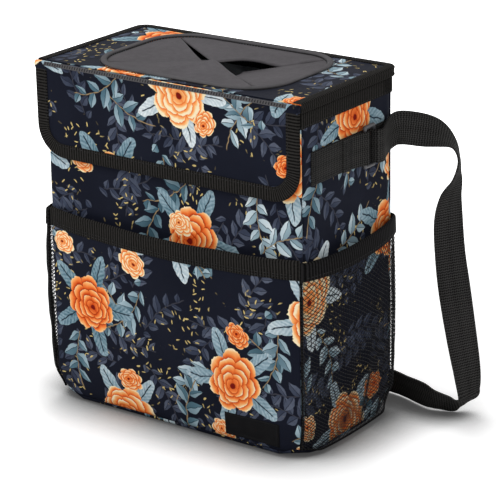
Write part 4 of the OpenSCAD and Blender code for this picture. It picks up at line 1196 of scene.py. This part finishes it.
def web_ribbon(path, wide):
    """A webbing ribbon with rounded edges, along a path with the direction across it."""
    p, w = np.asarray(path, float), unit(np.asarray(wide, float))
    t = heading(p)
    w = unit(w - t * np.sum(w * t, 1, keepdims=True))
    face = np.cross(t, w)
    h, q = WEB_W / 2, WEB_T / 2
    half = [(h, 0.0), (h - 0.25, q * 0.75), (h - 0.9, q)]
    half += [(x, q * (1.0 - 0.05 * (k % 2))) for k, x in enumerate(np.linspace(h - 2.0, 2.0 - h, 11))]
    half += [(0.9 - h, q), (0.25 - h, q * 0.75)]
    outline = half + [(-a, -b) for a, b in half]
    rings = np.stack([p + w * a + face * b for a, b in outline], 1)
    return sweep(rings, lengths(p), across=[a for a, b in outline])


def sew(side, out, y, z, pitch=1.7, length=1.6, radius=0.38, lift=0.05):
    """A row of stitches on the webbing's face, between two places."""
    row = np.column_stack([np.full(12, side * out), np.linspace(*y, 12), np.linspace(*z, 12)])
    stitches["root"].stitch(row, (side, 0, 0), pitch=pitch, length=length, radius=radius, lift=lift)


def tab(side):
    loop_r = BAR_R + 0.4 + WEB_T / 2
    flat_x = HALF_W + WEB_T * 1.5 + 0.1
    path = [(HALF_W + WEB_T / 2, y) for y in np.linspace(-46, RING_Y, 28)]
    path += [(RING_X - loop_r * math.cos(a), RING_Y + loop_r * math.sin(a))
             for a in arc(0, PI * 1.12, 18)[1:]]
    path += [(mix(RING_X + loop_r * 0.93, flat_x, t ** 0.7), mix(RING_Y - 1.2, 3.5, t))
             for t in (0.3, 0.6, 0.85, 1.0)]
    path += [(flat_x, y) for y in np.linspace(1.5, -9, 8)]
    path = np.array([(side * x, y, STRAP_Z) for x, y in path])
    name = "right" if side > 0 else "left"
    shape = web_ribbon(path, np.tile((0, 0, 1.0), (len(path), 1)))
    obj = add_piece(name + "_tab_webbing", shape, "root", WEBBING, stands_for=[name + "_tab"],
                    sharp=60)
    low, high = STRAP_Z - 11, STRAP_Z + 11
    for y in (-7.6, -5.4, -1.0, 1.0):
        sew(side, HALF_W + 2 * WEB_T + 0.15, (y, y), (low, high))
    for y in (-44.2, -42.0):
        sew(side, HALF_W + WEB_T + 0.05, (y, y), (low, high))
    for z in (low, high):
        sew(side, HALF_W + WEB_T + 0.05, (-43, -10), (z, z), pitch=2.8, length=2.0, radius=0.28)


tab(1)
tab(-1)

# Strap: one length of webbing along the stations of the part's source
TAIL, TURN_R, STRAP_GAP = 24.0, 2.0, 0.1
bar_y = RING_Y + RING_REACH
tail_x = HALF_W + WEB_T / 2 + STRAP_GAP
swing = math.radians(20)
loop_x = RING_X + RING_REACH * math.sin(swing) + BAR_R + 0.4 + WEB_T / 2
loop_y = bar_y - RING_REACH * (1 - math.cos(swing)) - BAR_R - 0.4 - WEB_T / 2
flat_x = tail_x + WEB_T + STRAP_GAP
cut = 0.3 * TURN_R
stations = [((x, y, STRAP_Z + up), (0.0, 0.0, 1.0)) for x, y, up in (
    (tail_x, bar_y + TAIL, 0), (tail_x, bar_y + TAIL / 2, 0), (tail_x, loop_y + TURN_R, 0),
    (tail_x + cut, loop_y + cut, 0), (tail_x + TURN_R, loop_y, 0), (loop_x - TURN_R, loop_y, 0),
    (loop_x - cut, loop_y + cut, 0), (loop_x, loop_y + TURN_R, 0), (loop_x - STRAP_GAP, bar_y + TAIL / 6, 0),
    (mix(loop_x, flat_x, 0.55), bar_y + TAIL * 0.55, 0.5), (flat_x + 0.6, bar_y + TAIL, 2.5))]
# Behind the body: right of its side, behind its back, the height and the direction across the webbing
hanging = [(dx, dy, STRAP_Z * share, wide) for dx, dy, share, wide in (
    (4.9, 1.7, 1.019, (-0.09, 0.22, 0.97)), (13.3, 14.4, 1.005, (-0.19, 0.27, 0.94)),
    (24.7, 25.3, 0.985, (-0.46, 0.63, 0.62)), (32.8, 30.8, 0.952, (-0.5, 0.86, 0.12)),
    (38.2, 30.6, 0.901, (-0.47, 0.85, -0.23)), (37.9, 28.4, 0.84, (-0.33, 0.88, -0.34)),
    (33.2, 27.2, 0.767, (0.11, 0.94, -0.33)), (31.9, 27, 0.678, (0.46, 0.86, -0.22)),
    (34.2, 26.4, 0.558, (0.58, 0.8, -0.16)), (39.5, 24.4, 0.438, (0.7, 0.7, -0.1)),
    (47.8, 20.8, 0.291, (0.6, 0.79, -0.12)), (54.6, 18.4, 0.169, (0.38, 0.92, 0)))]
hanging += [(57.5, 16.9, 21.8, (0.16, 0.97, 0.15)), (57.2, 17, 15.8, (0.11, 0.98, -0.15)),
            (53.6, 16, 12.8, (-0.18, 0.9, -0.39))]
# On the floor, the webbing rests on its lower edge
for dx, dy, down in (
        (48.6, 11.7, (-0.5, 0.56, -0.66)), (35, 8, (-0.26, 0.52, -0.81)), (27.5, 8.2, (0, 0.39, -0.92)),
        (20.7, 9.2, (0.07, 0.32, -0.95)), (9.4, 12.2, (0.09, 0.33, -0.94)), (-2, 16, (0.05, 0.35, -0.94)),
        (-17, 18.6, (0, 0.35, -0.94)), (-64.4, 21, (0, 0.35, -0.94)), (-HALF_W, 22, (0, 0.35, -0.94))):
    hanging.append((dx, dy, WEB_T - WEB_W / 2 * float(unit(down)[2]), down))
stations += [((HALF_W + dx, HALF_D + dy, z), wide) for dx, dy, z, wide in hanging]
stations += [((-p[0], p[1], p[2]), (-w[0], w[1], w[2])) for p, w in stations[-2::-1]]
strap_line = spline_path([p for p, w in stations], 9)
pts, faces, uv = web_ribbon(strap_line, spline_path([unit(w) for p, w in stations], 9))
pts[:, 2] = np.maximum(pts[:, 2], 0.05)
strap = add_piece("strap_webbing", (pts, faces, uv), "root", WEBBING,
                  stands_for=["shoulder_strap"], sharp=60)
for side in (1, -1):
    for y in (38.0, 40.4, 50.0):
        out = flat_x + WEB_T / 2 + mix(1.4, 0.5, (y - 38) / 12)
        sew(side, out, (y, y), (STRAP_Z - 10, STRAP_Z + 11), radius=0.36, lift=0.0)

overcast.build("fold_overcast", "flap", "woven_tape", BLACK)
for body, bundle in stitches.items():
    bundle.build("stitches_" + body, body, "woven_tape", THREAD)


# Stage: a pale floor that runs into a white background, and soft studio light

def seen(tree, low, high):
    """A value that is high for what the camera, a reflection or a clear piece shows, and low for light."""
    paths = make(tree, "LightPath").outputs
    shows = Val(tree, paths["Is Camera Ray"])
    for name in ("Is Glossy Ray", "Is Transmission Ray"):
        shows = shows.max(paths[name])
    return Val(tree, make(tree, "MapRange", {"Value": shows, "To Min": low, "To Max": high}).outputs[0])


def lamp(name, place, aim, size, power):
    light = bpy.data.lights.new(name, "AREA")
    light.shape = "SQUARE"
    light.size = size
    light.energy = power
    obj = bpy.data.objects.new(name, light)
    bpy.context.scene.collection.objects.link(obj)
    obj.location = place
    obj.rotation_euler = (Vector(aim) - Vector(place)).to_track_quat("-Z", "Y").to_euler()


floor_mesh = bpy.data.meshes.new("floor")
floor_mesh.from_pydata([(-6, -6, 0), (6, -6, 0), (6, 6, 0), (-6, 6, 0)], [], [(0, 1, 2, 3)])
floor = bpy.data.objects.new("floor", floor_mesh)
bpy.context.scene.collection.objects.link(floor)
c = Cloth("floor_pale", 0.8, 0.2)
c.inputs["Emission Color"].default_value = (1, 1, 1, 1)
# The shown white grows with the distance from the object. Near the object, ambient occlusion darkens both the
# floor's colour and its shown white: a painted shadow round the object's foot
away = make(c.tree, "VectorMath", {0: make(c.tree, "TexCoord").outputs["Object"]}, operation="LENGTH")
far = make(c.tree, "MapRange", {"Value": away.outputs["Value"], "To Min": 0.42, "From Min": 0.25,
                                "From Max": 0.8}, interpolation_type="SMOOTHSTEP")
near = make(c.tree, "AmbientOcclusion", {"Distance": 0.055})
painted_contact_shadow = make(c.tree, "MapRange", {"Value": near.outputs["AO"], "From Min": 0.42, "From Max": 0.97,
                                    "To Min": 0.1})
feed(c.tree, seen(c.tree, 0.0, 1.0) * far.outputs[0] * painted_contact_shadow.outputs[0], c.inputs["Emission Strength"])
# The floor's colour, darkened near the object by the painted shadow
floor_mesh.materials.append(c.finish(c.blend(painted_contact_shadow.outputs[0], (0, 0, 0, 1), (0.95, 0.95, 0.95, 1))))

scene = bpy.context.scene
world = bpy.data.worlds.new("studio")
scene.world = world
world.use_nodes = True
background = world.node_tree.nodes["Background"]
feed(world.node_tree, seen(world.node_tree, 0.5, 1.0), background.inputs["Strength"])
background.inputs["Color"].default_value = (1, 1, 1, 1)

lamp("key", (-0.7, -1.3, 1.5), (0, 0, 0.13), 0.9, 15)
lamp("side", (1.5, -0.4, 0.9), (0, 0, 0.13), 0.9, 4)
lamp("back", (-0.6, 0.9, 1.4), (0, 0, 0.15), 0.8, 9)

scene.view_settings.view_transform = "Standard"
